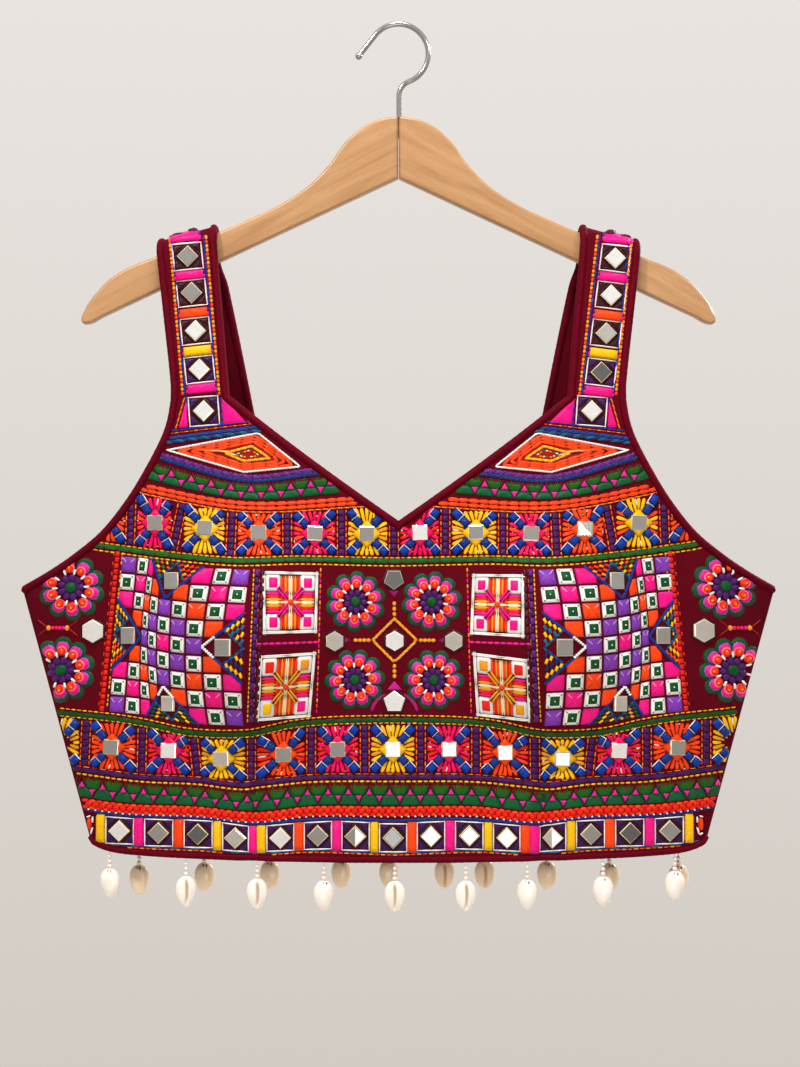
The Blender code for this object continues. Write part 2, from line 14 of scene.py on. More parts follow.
import bpy
import numpy as np
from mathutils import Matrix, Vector


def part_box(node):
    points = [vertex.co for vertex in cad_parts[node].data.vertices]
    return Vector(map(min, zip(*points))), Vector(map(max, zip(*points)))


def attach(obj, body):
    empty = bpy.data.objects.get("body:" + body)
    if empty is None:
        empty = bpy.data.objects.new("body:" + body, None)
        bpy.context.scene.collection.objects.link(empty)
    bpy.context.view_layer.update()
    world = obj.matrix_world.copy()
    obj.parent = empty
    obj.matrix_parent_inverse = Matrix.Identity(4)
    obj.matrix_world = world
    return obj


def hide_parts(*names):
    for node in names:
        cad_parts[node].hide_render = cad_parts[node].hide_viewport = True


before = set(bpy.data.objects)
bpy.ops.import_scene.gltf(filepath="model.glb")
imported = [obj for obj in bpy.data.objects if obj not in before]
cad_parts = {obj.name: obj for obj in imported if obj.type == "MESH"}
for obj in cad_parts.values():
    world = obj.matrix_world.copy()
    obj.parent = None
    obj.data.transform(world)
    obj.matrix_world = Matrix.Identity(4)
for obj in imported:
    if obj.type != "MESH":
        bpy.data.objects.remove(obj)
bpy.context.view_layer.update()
bpy.ops.object.select_all(action="DESELECT")
random.seed(11)

# ---- the garment's sizes, as it was built
CLOTH = 0.0020
SEAM_GAP = 0.0003
CUP_SEAM_GAP = 0.0005
BINDING_RADIUS = 0.0026
HEM_RADIUS = 0.0022
HEM_Z = -0.5277
UNDERARM_Z = -0.3665
HEM_HALF = 0.1965
UNDERARM_HALF = 0.2400
HEM_CORNER_LIFT = 0.0060
HEM_CORNER_POWER = 22
FRONT_DEPTH = 0.0400
BACK_DEPTH = 0.0300
SEAM_DEPTH = 0.0011
TUBE_POWER = 0.8
CUP_X = 0.0980
CUP_Z = -0.3920
CUP_HEIGHT = 0.0200
CUP_OUTER = 0.0660
CUP_INNER = 0.0800
CUP_UPPER = 0.1000
CUP_LOWER = 0.0850
SHOULDER_DEPTH = 0.0095
FOLD_TOP_Z = -0.1297
FOLD_X = 0.1170
FOLD_SLOPE = 0.27
FULL_DEPTH_Z = -0.4000
NECK_V_Z = -0.3260
NECK_SLOPE = 0.762
NECK_SAG = 0.0030
BACK_NECK_Z = -0.3420
STRAP_BASE_X = 0.1122
STRAP_BASE_Z = -0.2405
STRAP_BASE_SLOPE = 0.110
BACK_BASE_Z = -0.2620
FRONT_ARMHOLE = (           # z and x, here and in the tables that follow
    (-0.3665, 0.2400), (-0.3567, 0.2220), (-0.3461, 0.2053), (-0.3302, 0.1852), (-0.3092, 0.1679),
    (-0.2885, 0.1551), (-0.2686, 0.1449), (-0.2568, 0.1410), (-0.2434, 0.1388))
STRAP_OUTER = ((-0.2434, 0.1388), (-0.2318, 0.1390), (-0.1850, 0.1447), (-0.1480, 0.1494))
STRAP_INNER = ((-0.2405, 0.1122), (-0.1405, 0.1218))
BACK_ARMHOLE = ((-0.3665, 0.2400), (-0.3590, 0.2120), (-0.3450, 0.1800), (-0.3230, 0.1540),
                (-0.2950, 0.1340), (-0.2620, 0.1235))
BACK_STRAP_OUTER = ((-0.2620, 0.1235), (-0.2470, 0.1262), (-0.1480, 0.1494))
BACK_STRAP_INNER = ((-0.2620, 0.0976), (-0.1671, 0.1163), (-0.1540, 0.1208), (-0.1405, 0.1218))
PRINCESS_SEAM = ((-0.5277, 0.0890), (-0.4600, 0.0905), (-0.3920, 0.0980), (-0.3200, 0.1075),
                 (-0.2419, 0.1247))
PLACKET_HALF = 0.0110
PLACKET_WALL = 0.0015
PLACKET_SUNK = 0.0002       # how deep the placket is pressed into the back

# ---- the chart
CHART_STEP = 0.6457e-3      # one step, in the plane of the side seams
CHART_X = 398.5             # the chart's middle
CHART_Y = 533.0             # the chart's row at the eye's height
EYE_Z = -0.32692
EYE_DISTANCE = 1.140        # from which the chart lies straight over the cloth

SIDES = (("left", -1), ("right", 1))


# ---------------------------------------------------------------- dyes

def linear(value):
    value /= 255
    return value / 12.92 if value <= 0.04045 else ((value + 0.055) / 1.055) ** 2.4


def dye(red, green, blue):
    return np.array([linear(red), linear(green), linear(blue)])


PINK = dye(240, 16, 128)
CRIMSON = dye(236, 12, 88)
MAGENTA = dye(196, 30, 130)
ORANGE = dye(248, 68, 10)
RED = dye(228, 30, 16)
YELLOW = dye(250, 188, 10)
GOLD = dye(232, 150, 34)
BLUE = dye(0, 50, 150)
DEEP_BLUE = dye(12, 42, 104)
NAVY = dye(24, 34, 80)
TEAL = dye(20, 100, 130)
GREEN = dye(8, 94, 44)
LEAF = dye(26, 112, 28)
DARK_GREEN = dye(10, 74, 46)
PURPLE = dye(96, 26, 118)
VIOLET = dye(128, 56, 172)
LILAC = dye(182, 140, 214)
WHITE = dye(244, 240, 232)
CREAM = dye(240, 222, 176)
MAROON = dye(88, 3, 20)
DARK_MAROON = dye(52, 2, 16)
DEEP_PURPLE = dye(52, 12, 76)


# ---------------------------------------------------------------- the blouse's surfaces

def mix(a, b, t):
    return a + (b - a) * t


def unit(rows):
    return rows / np.linalg.norm(rows, axis=1)[:, None]


def read(table, z):
    """Distance at a height in a table, on a smooth curve through its rows."""
    rows = np.array(sorted(table))
    heights, reach = rows[:, 0], rows[:, 1]
    last = len(rows) - 1
    after = np.minimum(np.arange(last + 1) + 1, last)
    before = np.maximum(np.arange(last + 1) - 1, 0)
    slope = (reach[after] - reach[before]) / (heights[after] - heights[before])
    z = np.clip(z, heights[0], heights[-1])
    i = np.clip(np.searchsorted(heights, z, side="right") - 1, 0, last - 1)
    span = heights[i + 1] - heights[i]
    t = (z - heights[i]) / span
    return ((2 * t ** 3 - 3 * t ** 2 + 1) * reach[i] + (t ** 3 - 2 * t ** 2 + t) * slope[i] * span
            + (3 * t ** 2 - 2 * t ** 3) * reach[i + 1] + (t ** 3 - t ** 2) * slope[i + 1] * span)


def half_width(z):
    return mix(UNDERARM_HALF, HEM_HALF, np.maximum(0.0, (UNDERARM_Z - z) / (UNDERARM_Z - HEM_Z)))


def fold_centre(x):
    """Height of the middle of the strap's fold over the hanger."""
    return FOLD_TOP_Z - (abs(x) - FOLD_X) * FOLD_SLOPE - SHOULDER_DEPTH


def tube(x, z, depth):
    across = np.minimum(abs(x) / half_width(z), 1.0)
    return SEAM_DEPTH + depth * (1 - across ** 2) ** TUBE_POWER


def cup(x, z):
    away = abs(x) - CUP_X
    up = z - CUP_Z
    reach = np.hypot(away / np.where(away > 0, CUP_OUTER, CUP_INNER),
                     up / np.where(up > 0, CUP_UPPER, CUP_LOWER))
    return CUP_HEIGHT * np.cos(np.minimum(reach, 1.0) * math.pi / 2) ** 2


def settle(z, full):
    """Draws the walls in to the hanger towards the shoulders."""
    down = (fold_centre(FOLD_X) - z) / (fold_centre(FOLD_X) - FULL_DEPTH_Z)
    return mix(SHOULDER_DEPTH, full, np.sin(np.clip(down, 0.0, 1.0) * math.pi / 2))


def troughs(table, x, z):
    """Depth at a place of a table's soft creases, each a short stroke with rounded sides and ends."""
    total = 0.0
    for middle_x, middle_z, lean, length, width, depth in table:
        run, rise = math.sin(math.radians(lean)), math.cos(math.radians(lean))
        along = ((x - middle_x) * run + (z - middle_z) * rise) / (length / 2)
        across = ((x - middle_x) * rise - (z - middle_z) * run) / (width / 2)
        total = total + depth * np.exp(-across ** 2 - along ** 4)
    return total


FRONT_CREASES = (
    # x, z of the middle, lean from upright in degrees, length, width, depth; out is positive
    (-0.0903, -0.4900, 0, 0.090, 0.0085, -0.0022),      # the cup's lower seams pull the front in
    (0.0905, -0.4900, 0, 0.090, 0.0085, -0.0022),
    (-0.0760, -0.4950, 4, 0.070, 0.0120, 0.0009),
    (0.0765, -0.4950, -4, 0.070, 0.0120, 0.0009),
    (-0.1060, -0.4930, -6, 0.070, 0.0130, 0.0008),
    (0.1065, -0.4930, 6, 0.070, 0.0130, 0.0008),
    (-0.1620, -0.4800, 10, 0.080, 0.0180, -0.0010),
    (0.1600, -0.4850, -8, 0.080, 0.0180, -0.0010),
    (-0.1950, -0.4050, -58, 0.060, 0.0130, -0.0009),
    (0.1960, -0.4020, 60, 0.064, 0.0130, -0.0009),
    (-0.0250, -0.5050, 3, 0.050, 0.0160, 0.0008),
    (0.0320, -0.5060, -2, 0.050, 0.0160, 0.0008),
)
BACK_CREASES = (
    (-0.1180, -0.4150, 14, 0.190, 0.0210, -0.0034),
    (-0.1010, -0.4300, 12, 0.170, 0.0160, 0.0018),
    (0.1240, -0.4200, -16, 0.180, 0.0230, -0.0032),
    (0.1060, -0.4400, -13, 0.150, 0.0170, 0.0017),
    (-0.0560, -0.4500, 6, 0.120, 0.0180, -0.0022),
    (0.0490, -0.4430, -4, 0.130, 0.0200, -0.0024),
    (-0.1680, -0.4250, 32, 0.110, 0.0170, -0.0021),
    (0.1720, -0.4180, -36, 0.105, 0.0180, -0.0020),
    (-0.1890, -0.3950, 58, 0.070, 0.0120, 0.0012),
    (0.1880, -0.3920, -60, 0.074, 0.0120, 0.0012),
    (-0.0300, -0.3720, 80, 0.046, 0.0110, -0.0011),
    (0.0280, -0.3980, -82, 0.040, 0.0100, -0.0010),
    (-0.0820, -0.3450, -22, 0.090, 0.0140, -0.0016),
    (0.0860, -0.3400, 24, 0.088, 0.0150, -0.0015),
    (-0.1130, -0.3000, -12, 0.060, 0.0110, -0.0012),
    (0.1120, -0.3040, 10, 0.060, 0.0120, -0.0012),
    (-0.1430, -0.5000, 8, 0.060, 0.0190, 0.0015),
    (0.1410, -0.5010, -9, 0.056, 0.0190, 0.0015),
)
CREASE_DEPTH = 1.4          # how much deeper the back is creased than its solid
CREASE_EDGE = 0.012         # how far from its sides the back's creases fade out


def front_depth(x, z):
    return settle(z, tube(x, z, FRONT_DEPTH) + cup(x, z)) + troughs(FRONT_CREASES, x, z)


def back_depth(x, z):
    calm = np.clip((half_width(z) - abs(x)) / CREASE_EDGE, 0, 1)
    return settle(z, tube(x, z, BACK_DEPTH)) + troughs(BACK_CREASES, x, z) * calm * CREASE_DEPTH


def hem_z(x):
    return HEM_Z + HEM_CORNER_LIFT * np.minimum(abs(x) / HEM_HALF, 1.0) ** HEM_CORNER_POWER


def neck_z(x):
    across = np.minimum(abs(x) / STRAP_BASE_X, 1.0)
    return NECK_V_Z + NECK_SLOPE * abs(x) - NECK_SAG * np.sin(across * math.pi * 0.75)


def base_z(x):
    return STRAP_BASE_Z - (abs(x) - STRAP_BASE_X) * STRAP_BASE_SLOPE


def back_neck(turn):
    """Back neckline as a quarter of an ellipse: turn 0 is the centre, 1 the strap."""
    return (BACK_STRAP_INNER[0][1] * np.sin(turn * math.pi / 2),
            BACK_BASE_Z - (BACK_BASE_Z - BACK_NECK_Z) * np.cos(turn * math.pi / 2))


def front(x, z):
    return np.stack([x, -front_depth(x, z), z], -1)


def back(x, z):
    return np.stack([x, back_depth(x, z), z], -1)


# ---------------------------------------------------------------- cut pieces of cloth

SEAM_ROWS = 8
EDGE_ROWS = 10
SEAM_SHARE = SEAM_ROWS / (SEAM_ROWS + EDGE_ROWS)
ARMHOLE_EASE = 1.5
HEM_BLEND = 0.12            # share of a side's height over which its rows take up the hem's line


def past_seam(along):
    """How far past the side seam's end, as a share of the edge above it."""
    return np.clip((along - SEAM_SHARE) / (1 - SEAM_SHARE), 0, 1)


def side_edge(along, top_z, armhole):
    """x and z up the side seam and then round the armhole."""
    low = along <= SEAM_SHARE
    z = np.where(low, mix(hem_z(HEM_HALF), UNDERARM_Z, along / SEAM_SHARE),
                 mix(UNDERARM_Z, top_z, past_seam(along) ** ARMHOLE_EASE))
    return np.where(low, half_width(z), read(armhole, z)), z


def between(across, along, inner, outer):
    """x and z between a side piece's inner and outer edges, its lowest rows along the hem."""
    spread = np.sin(across * math.pi / 2)
    x = mix(inner[0], outer[0], spread)
    foot = mix(HEM_Z, hem_z(HEM_HALF), spread)
    z = mix(inner[1], outer[1], spread)
    return x, z + (hem_z(x) - foot) * np.clip(1 - along / HEM_BLEND, 0, 1)


def front_centre_point(across, along):
    side = 2 * across - 1
    reach = read(PRINCESS_SEAM, HEM_Z) - CUP_SEAM_GAP / 2
    top = NECK_V_Z + 0 * side
    for _ in range(12):
        x = side * (read(PRINCESS_SEAM, top) - CUP_SEAM_GAP / 2)
        top = np.minimum(neck_z(x), base_z(x) - SEAM_GAP / 2)
    z = mix(hem_z(side * reach), top, along)
    return front(side * (read(PRINCESS_SEAM, z) - CUP_SEAM_GAP / 2), z)


def front_side_point(sign):
    def place(across, along):
        outer = side_edge(along, base_z(FRONT_ARMHOLE[-1][1]) - SEAM_GAP / 2, FRONT_ARMHOLE)
        seam_z = mix(hem_z(PRINCESS_SEAM[0][1]), base_z(PRINCESS_SEAM[-1][1]) - SEAM_GAP / 2, along)
        inner = read(PRINCESS_SEAM, seam_z) + CUP_SEAM_GAP / 2, seam_z
        x, z = between(across, along, inner, outer)
        return front(sign * x, z)
    return place


def back_point(sign):
    def place(across, along):
        top_z = BACK_BASE_Z - SEAM_GAP / 2
        low = along <= SEAM_SHARE
        neck_x, neck_height = back_neck(past_seam(along))
        inner = (np.where(low, SEAM_GAP / 2, np.maximum(neck_x, SEAM_GAP / 2)),
                 np.where(low, mix(HEM_Z, BACK_NECK_Z, along / SEAM_SHARE), np.minimum(neck_height, top_z)))
        x, z = between(across, along, inner, side_edge(along, top_z, BACK_ARMHOLE))
        return back(sign * x, z)
    return place


STRAP_FRONT_ROWS = 10
STRAP_FOLD_ROWS = 6
STRAP_BACK_ROWS = 9
STRAP_ROWS = STRAP_FRONT_ROWS + STRAP_FOLD_ROWS + STRAP_BACK_ROWS
FRONT_SHARE = STRAP_FRONT_ROWS / STRAP_ROWS
FOLD_SHARE = STRAP_FOLD_ROWS / STRAP_ROWS


def over(x, turn):
    """A point of the strap's fold: turn runs from 0 in front to 1 behind."""
    centre = fold_centre(x)
    reach = np.where(turn < 0.5, front_depth(x, centre), back_depth(x, centre))
    turn = turn * math.pi
    return np.stack([x, -reach * np.cos(turn), centre + SHOULDER_DEPTH * np.sin(turn)], -1)


def strap_point(sign):
    def place(across, along):
        up = np.clip(along / FRONT_SHARE, 0, 1)
        outer_z = mix(base_z(STRAP_OUTER[0][1]) + SEAM_GAP / 2, fold_centre(STRAP_OUTER[-1][1]), up)
        inner_z = mix(STRAP_BASE_Z + SEAM_GAP / 2, fold_centre(STRAP_INNER[-1][1]), up)
        x = mix(read(STRAP_OUTER, outer_z), read(STRAP_INNER, inner_z), across)
        rise = front(sign * x, mix(outer_z, inner_z, across))
        turn = np.clip((along - FRONT_SHARE) / FOLD_SHARE, 0, 1)
        fold = over(sign * mix(STRAP_OUTER[-1][1], STRAP_INNER[-1][1], across), turn)
        down = np.clip((along - FRONT_SHARE - FOLD_SHARE) / (1 - FRONT_SHARE - FOLD_SHARE), 0, 1)
        outer_z = mix(fold_centre(STRAP_OUTER[-1][1]), BACK_BASE_Z + SEAM_GAP / 2, down)
        inner_z = mix(fold_centre(STRAP_INNER[-1][1]), BACK_BASE_Z + SEAM_GAP / 2, down)
        x = mix(read(BACK_STRAP_OUTER, outer_z), read(BACK_STRAP_INNER, inner_z), across)
        fall = back(sign * x, mix(outer_z, inner_z, across))
        along = np.asarray(along)[..., None]
        return np.where(along <= FRONT_SHARE, rise, np.where(along < FRONT_SHARE + FOLD_SHARE, fold, fall))
    return place


def placket_point(across, along):
    face = back(mix(-PLACKET_HALF, PLACKET_HALF, across), mix(HEM_Z, BACK_NECK_Z, along))
    return face + np.array([0, (CLOTH + PLACKET_WALL) / 2 - PLACKET_SUNK, 0])


def active(name, material):
    """The object that was just added, named, with its material and nothing selected."""
    piece = bpy.context.object
    piece.name = name
    piece.data.name = name
    piece.data.materials.clear()
    piece.data.materials.append(material)
    piece.select_set(False)
    return piece


def modified(piece, kind, **settings):
    """Applies a modifier to a piece."""
    maker = piece.modifiers.new(kind, kind)
    for name, value in settings.items():
        setattr(maker, name, value)
    bpy.context.view_layer.objects.active = piece
    bpy.ops.object.modifier_apply(modifier=maker.name)


def smooth(piece, degrees):
    """Smooth shading, sharp where faces meet at more than so many degrees."""
    piece.data.shade_smooth()
    piece.data.set_sharp_from_angle(angle=math.radians(degrees))


def start_edit(piece):
    """Edit mode, with all of a piece selected."""
    piece.select_set(True)
    bpy.context.view_layer.objects.active = piece
    bpy.ops.object.mode_set(mode="EDIT")
    bpy.ops.mesh.select_all(action="SELECT")


def end_edit(piece):
    """Turns every face of a closed piece outwards and leaves edit mode."""
    bpy.ops.mesh.select_all(action="SELECT")
    bpy.ops.mesh.normals_make_consistent(inside=False)
    bpy.ops.object.mode_set(mode="OBJECT")
    piece.select_set(False)


def belong(piece, slot, body="root", stands_for=None):
    """Puts a piece on the body that it rides on and hides the node that it stands for; slot is not used."""
    if stands_for:
        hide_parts(stands_for)
    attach(piece, body)


def set_points(mesh, points):
    mesh.vertices.foreach_set("co", np.asarray(points, np.float32).ravel())
    mesh.update()


def get_points(mesh):
    points = np.empty(len(mesh.vertices) * 3, np.float32)
    mesh.vertices.foreach_get("co", points)
    return points.reshape(-1, 3).astype(float)


TUCK = 0.0012               # how far the cloth runs on under its bindings and into its side seams
SEAM_TUCK = 0.0003          # and into its other seams
EDGE_STEP = 0.02


def tucked(points, shares, place, bound):
    """Runs edges on: each is (0 across or 1 along, its share, where it starts, how far it runs on)."""
    points = points.copy()
    for way, share, start, far in bound:
        rows = (abs(shares[:, way] - share) < 1e-6) & (shares[:, 1 - way] > start - 1e-6)
        inward = shares[rows].copy()
        inward[:, way] += EDGE_STEP if share == 0 else -EDGE_STEP
        points[rows] += unit(place(*shares[rows].T) - place(*inward.T)) * far
    return points


def cut_piece(name, columns, rows, place, material, wall=CLOTH, bound=()):
    """A piece of cloth with its wall: a grid that place(across, along) lays on its surface."""
    bpy.ops.mesh.primitive_grid_add(x_subdivisions=columns, y_subdivisions=rows, size=2)
    piece = active(name, material)
    shares = (get_points(piece.data)[:, :2] + 1) / 2
    set_points(piece.data, tucked(place(*shares.T), shares, place, bound))
    modified(piece, "SOLIDIFY", thickness=wall, offset=0)
    smooth(piece, 50)
    return piece


# ---------------------------------------------------------------- materials

WAVE_REACH = 0.314          # how far apart the bands of a wave of scale 1 are
OBJECT = {"kind": "TexCoord", "out": "Object"}
DYE = {"kind": "Attribute", "attribute_name": "dye"}
RUN = {"kind": "UVMap", "uv_map": "run"}


def new_material(name, roughness, **values):
    """A Principled material, its nodes and its shader, with values set on the shader's own sockets."""
    material = bpy.data.materials.new(name)
    material.use_nodes = True
    shader = material.node_tree.nodes["Principled BSDF"]
    for socket, value in {"Roughness": roughness, **values}.items():
        shader.inputs[socket.replace("_", " ")].default_value = value
    return material, material.node_tree, shader


def feed(tree, socket, value):
    """Sets a socket, or links it where the value is another node's output."""
    if isinstance(value, bpy.types.NodeSocket):
        tree.links.new(value, socket)
    else:
        socket.default_value = tuple(value) if isinstance(value, np.ndarray) else value


def node(tree, kind, *values, out=0, **named):
    """A new node's output; values go to its first sockets, or by name with underscores for spaces."""
    made = tree.nodes.new(f"ShaderNode{kind}")
    for name, value in named.items():
        socket = made.inputs.get(name.replace("_", " "))
        if socket is None:
            setattr(made, name, value)
        else:
            feed(tree, socket, value)
    for socket, value in zip(made.inputs, values):
        feed(tree, socket, value)
    return made.outputs[out]


def noise(tree, place, scale, detail, **named):
    return node(tree, "TexNoise", out="Fac", Vector=place, Scale=scale, Detail=detail, **named)


def threads(tree, place, way, pitch, distortion, **named):
    """Threads side by side, so far apart."""
    return node(tree, "TexWave", out="Fac", bands_direction=way, Vector=place, Scale=WAVE_REACH / pitch,
                Distortion=distortion, Detail=1.0, **named)


def bumped(tree, shader, height, distance, strength, **below):
    bump = node(tree, "Bump", Height=height, Distance=distance, Strength=strength, **below)
    feed(tree, shader.inputs["Normal"], bump)
    return bump


def tinted(tree, shader, factor, dark, light, base):
    """Base colour that runs from dark to light shares of a colour as factor goes from 0 to 1."""
    share = node(tree, "MapRange", Value=factor, To_Min=dark, To_Max=light)
    feed(tree, shader.inputs["Base Color"], node(tree, "VectorMath", base, operation="SCALE", Scale=share))


def two_tone(tree, factor, low, high):
    """Colour that runs from low to high as factor goes from 0.30 to 0.72."""
    made = tree.nodes.new("ShaderNodeValToRGB")
    for stop, position, colour in zip(made.color_ramp.elements, (0.30, 0.72), (low, high)):
        stop.position = position
        stop.color = (*colour, 1)
    feed(tree, made.inputs[0], factor)
    return made.outputs["Color"]


def cloth_material(name, colour, pitch=0.00055):
    """Plain-woven cotton: crossed threads, and slubs."""
    material, tree, shader = new_material(name, 0.86, Specular_IOR_Level=0.06)
    place = node(tree, **OBJECT)
    crossed = [threads(tree, place, way, pitch, 1.2, Detail_Scale=2.0) for way in "XZ"]
    weave = node(tree, "Math", *crossed, operation="MAXIMUM")
    slubs = noise(tree, place, 70.0, 5.0, Roughness=0.65)
    tinted(tree, shader, node(tree, "Math", weave, 0.35, slubs, operation="MULTIPLY_ADD"), 0.64, 1.18, colour)
    bumped(tree, shader, weave, 0.00012, 0.6)
    return material


def silk_material():
    """Silk thread, dyed by the attribute "dye" and laid along the map "run", whose unit is a millimetre."""
    material, tree, shader = new_material("silk_thread", 0.27, Specular_IOR_Level=0.13)
    run = node(tree, **RUN)
    strands = threads(tree, run, "Y", 0.45, 0.8, Detail_Scale=0.6)
    stretched = node(tree, "Mapping", Vector=run, Scale=(0.22, 1.6, 1.0))
    uneven = noise(tree, stretched, 1.1, 2.0, Roughness=0.6)
    blend = node(tree, "Math", strands, 0.30, uneven, operation="MULTIPLY_ADD")
    tinted(tree, shader, blend, 0.56, 1.24, node(tree, **DYE))
    first = bumped(tree, shader, strands, 0.00010, 0.55)
    bumped(tree, shader, uneven, 0.00022, 0.5, Normal=first)
    return material


def mirror_material():
    """Silvered glass, greyed by the attribute "dye" where the silver has dulled."""
    material, tree, shader = new_material("mirror_glass", 0.07, Metallic=1.0)
    cloudy = noise(tree, node(tree, **OBJECT), 260.0, 3.0, Roughness=0.6)
    tinted(tree, shader, cloudy, 0.86, 1.08, node(tree, **DYE))
    bumped(tree, shader, cloudy, 0.00004, 0.4)
    return material


def binding_material():
    """Maroon satin piping, its threads across the roll and faint puckers along it."""
    material, tree, shader = new_material("maroon_binding", 0.66, Specular_IOR_Level=0.05)
    run = node(tree, **RUN)
    squeezed = node(tree, "Mapping", Vector=run, Scale=(0.34, 0.12, 1.0))
    puckers = noise(tree, squeezed, 1.0, 3.0, Roughness=0.55)
    tinted(tree, shader, puckers, 0.72, 1.3, dye(92, 0, 20))
    first = bumped(tree, shader, threads(tree, run, "X", 0.42, 0.7), 0.00008, 0.5)
    bumped(tree, shader, puckers, 0.0007, 0.6, Normal=first)
    return material


def wood_material(name, lean):
    """Clear-varnished beech, its grain along the arm and its short dark flecks."""
    material, tree, shader = new_material(name, 0.38, Coat_Weight=0.25, Coat_Roughness=0.25)
    level = node(tree, "Mapping", Vector=node(tree, **OBJECT), Rotation=(0, math.radians(lean), 0))
    long = node(tree, "Mapping", Vector=level, Scale=(9.0, 60.0, 120.0))
    grain = noise(tree, long, 1.6, 6.0, Roughness=0.62, Distortion=0.5)
    short = node(tree, "Mapping", Vector=level, Scale=(120.0, 900.0, 1500.0))
    flecks = node(tree, "TexVoronoi", out="Distance", Vector=short, Scale=1.0, Randomness=1.0)
    speck = node(tree, "MapRange", Value=flecks, From_Min=0.04, From_Max=0.16, To_Min=0.62, To_Max=1.0)
    beech = two_tone(tree, grain, dye(166, 117, 70), dye(194, 147, 99))
    feed(tree, shader.inputs["Base Color"], node(tree, "VectorMath", beech, operation="SCALE", Scale=speck))
    bumped(tree, shader, grain, 0.0002, 0.35)
    return material


def wire_material():
    """Bright chrome plating with fine drawn lines."""
    material, tree, shader = new_material("chromed_wire", 0.14, Metallic=1.0)
    worn = noise(tree, node(tree, **OBJECT), 420.0, 4.0)
    tinted(tree, shader, worn, 0.82, 1.08, dye(158, 156, 154))
    feed(tree, shader.inputs["Roughness"], node(tree, "MapRange", Value=worn, To_Min=0.08, To_Max=0.24))
    return material


def shell_material(name, pale, warm):
    """Glazed cowrie, warmer in clouds, with the colours of its parts in the attribute "dye"."""
    material, tree, shader = new_material(name, 0.24, Coat_Weight=0.5, Coat_Roughness=0.08,
                                          Subsurface_Weight=0.12, Subsurface_Scale=0.002)
    clouds = noise(tree, node(tree, **OBJECT), 110.0, 4.0, Roughness=0.55)
    glaze = node(tree, "Mix", out=2, data_type="RGBA", Factor=clouds, A=(*pale, 1), B=(*warm, 1))
    whole = node(tree, "VectorMath", glaze, node(tree, **DYE), operation="MULTIPLY")
    feed(tree, shader.inputs["Base Color"], whole)
    bumped(tree, shader, clouds, 0.0002, 0.3)
    return material


def pearl_material():
    material, tree, shader = new_material("pearl_bead", 0.22, Coat_Weight=0.6, Coat_Roughness=0.1,
                                          Sheen_Weight=0.3)
    lustre = noise(tree, node(tree, **OBJECT), 500.0, 3.0)
    tinted(tree, shader, lustre, 0.88, 1.06, dye(238, 220, 206))
    bumped(tree, shader, lustre, 0.0001, 0.3)
    return material


maroon_ground = cloth_material("maroon_ground", MAROON)
maroon_back = cloth_material("maroon_back", dye(98, 5, 24), 0.0007)
binding_satin = binding_material()
silk = silk_material()
mirror_glass = mirror_material()
beech = {word: wood_material(f"pale_beech_{word}", lean) for word, lean in (("left", 27), ("right", -27))}
chrome = wire_material()
# the back's shells take a brighter, warmer copy of the glaze: painted warm bounce light on shells that hang
# in the front's shadow
glazes = {"front": shell_material("cowrie_ivory", dye(248, 243, 236), dye(240, 226, 208)),
          "back": shell_material("cowrie_sand_painted_bounce", dye(255, 232, 200), dye(250, 212, 170))}
pearl = pearl_material()


# ---------------------------------------------------------------- cloth of the blouse


def sew(name, columns, rows, place, slot, wall=CLOTH, bound=()):
    """A cut piece, finer than in the frame, its edges run on under its bindings and into its seams."""
    material = maroon_back if slot == "plain_cloth" else maroon_ground
    piece = cut_piece(f"{name}_cloth", columns, rows, place, material, wall, bound)
    belong(piece, slot, stands_for=name)


def make_cloth():
    hem, outer, inner = (1, 0, 0, TUCK), (0, 1, 0, TUCK), (0, 0, 0, SEAM_TUCK)
    centre_edges = (hem, (1, 1, 0, TUCK), inner, (0, 1, 0, SEAM_TUCK))
    strap_edges = ((0, 0, 0, TUCK), (0, 1, 0, TUCK), (1, 0, 0, SEAM_TUCK), (1, 1, 0, SEAM_TUCK))
    back_edges = (hem, outer, (0, 0, SEAM_SHARE, TUCK))
    sew("front_centre", 84, 72, front_centre_point, "embroidered_cloth",
        bound=centre_edges)
    for word, sign in SIDES:
        sew(f"front_side_{word}", 52, 76, front_side_point(sign), "embroidered_cloth",
            bound=(hem, outer, inner))
        sew(f"strap_{word}", 14, 96, strap_point(sign), "embroidered_cloth",
            bound=strap_edges)
        sew(f"back_{word}", 64, 96, back_point(sign), "plain_cloth", bound=back_edges)
    sew("back_placket", 6, 60, placket_point, "plain_cloth", PLACKET_WALL)


# ---------------------------------------------------------------- bindings

EDGE_AWAY = BINDING_RADIUS + SEAM_GAP
HEM_AWAY = HEM_RADIUS + SEAM_GAP
BINDING_SIDES = 14
PIPING_STEP = 0.0022
PIPING_PUCKER = 0.00013     # how far the piping swells between its stitches
PIPING_STITCH = 0.0047
END_RINGS = 1.5             # over how many rings an open end is rounded off
END_LEAST = 0.3             # and the share of the radius that is left at its last ring
EDGE_POINTS = 60
LONG_EDGE_POINTS = 110


def edge(place, across, along, inward, count=EDGE_POINTS):
    """Points of a piece's edge and their neighbours inward: across and along give ranges."""
    a = np.linspace(*across, count + 1)
    b = np.linspace(*along, count + 1)
    return np.stack([place(a, b), place(a + inward[0], b + inward[1])], 1)


def run_of(points, closed):
    """Direction of a line at each of its points."""
    ahead, behind = np.roll(points, -1, 0), np.roll(points, 1, 0)
    if not closed:
        ahead[-1], behind[0] = points[-1], points[0]
    return unit(ahead - behind)


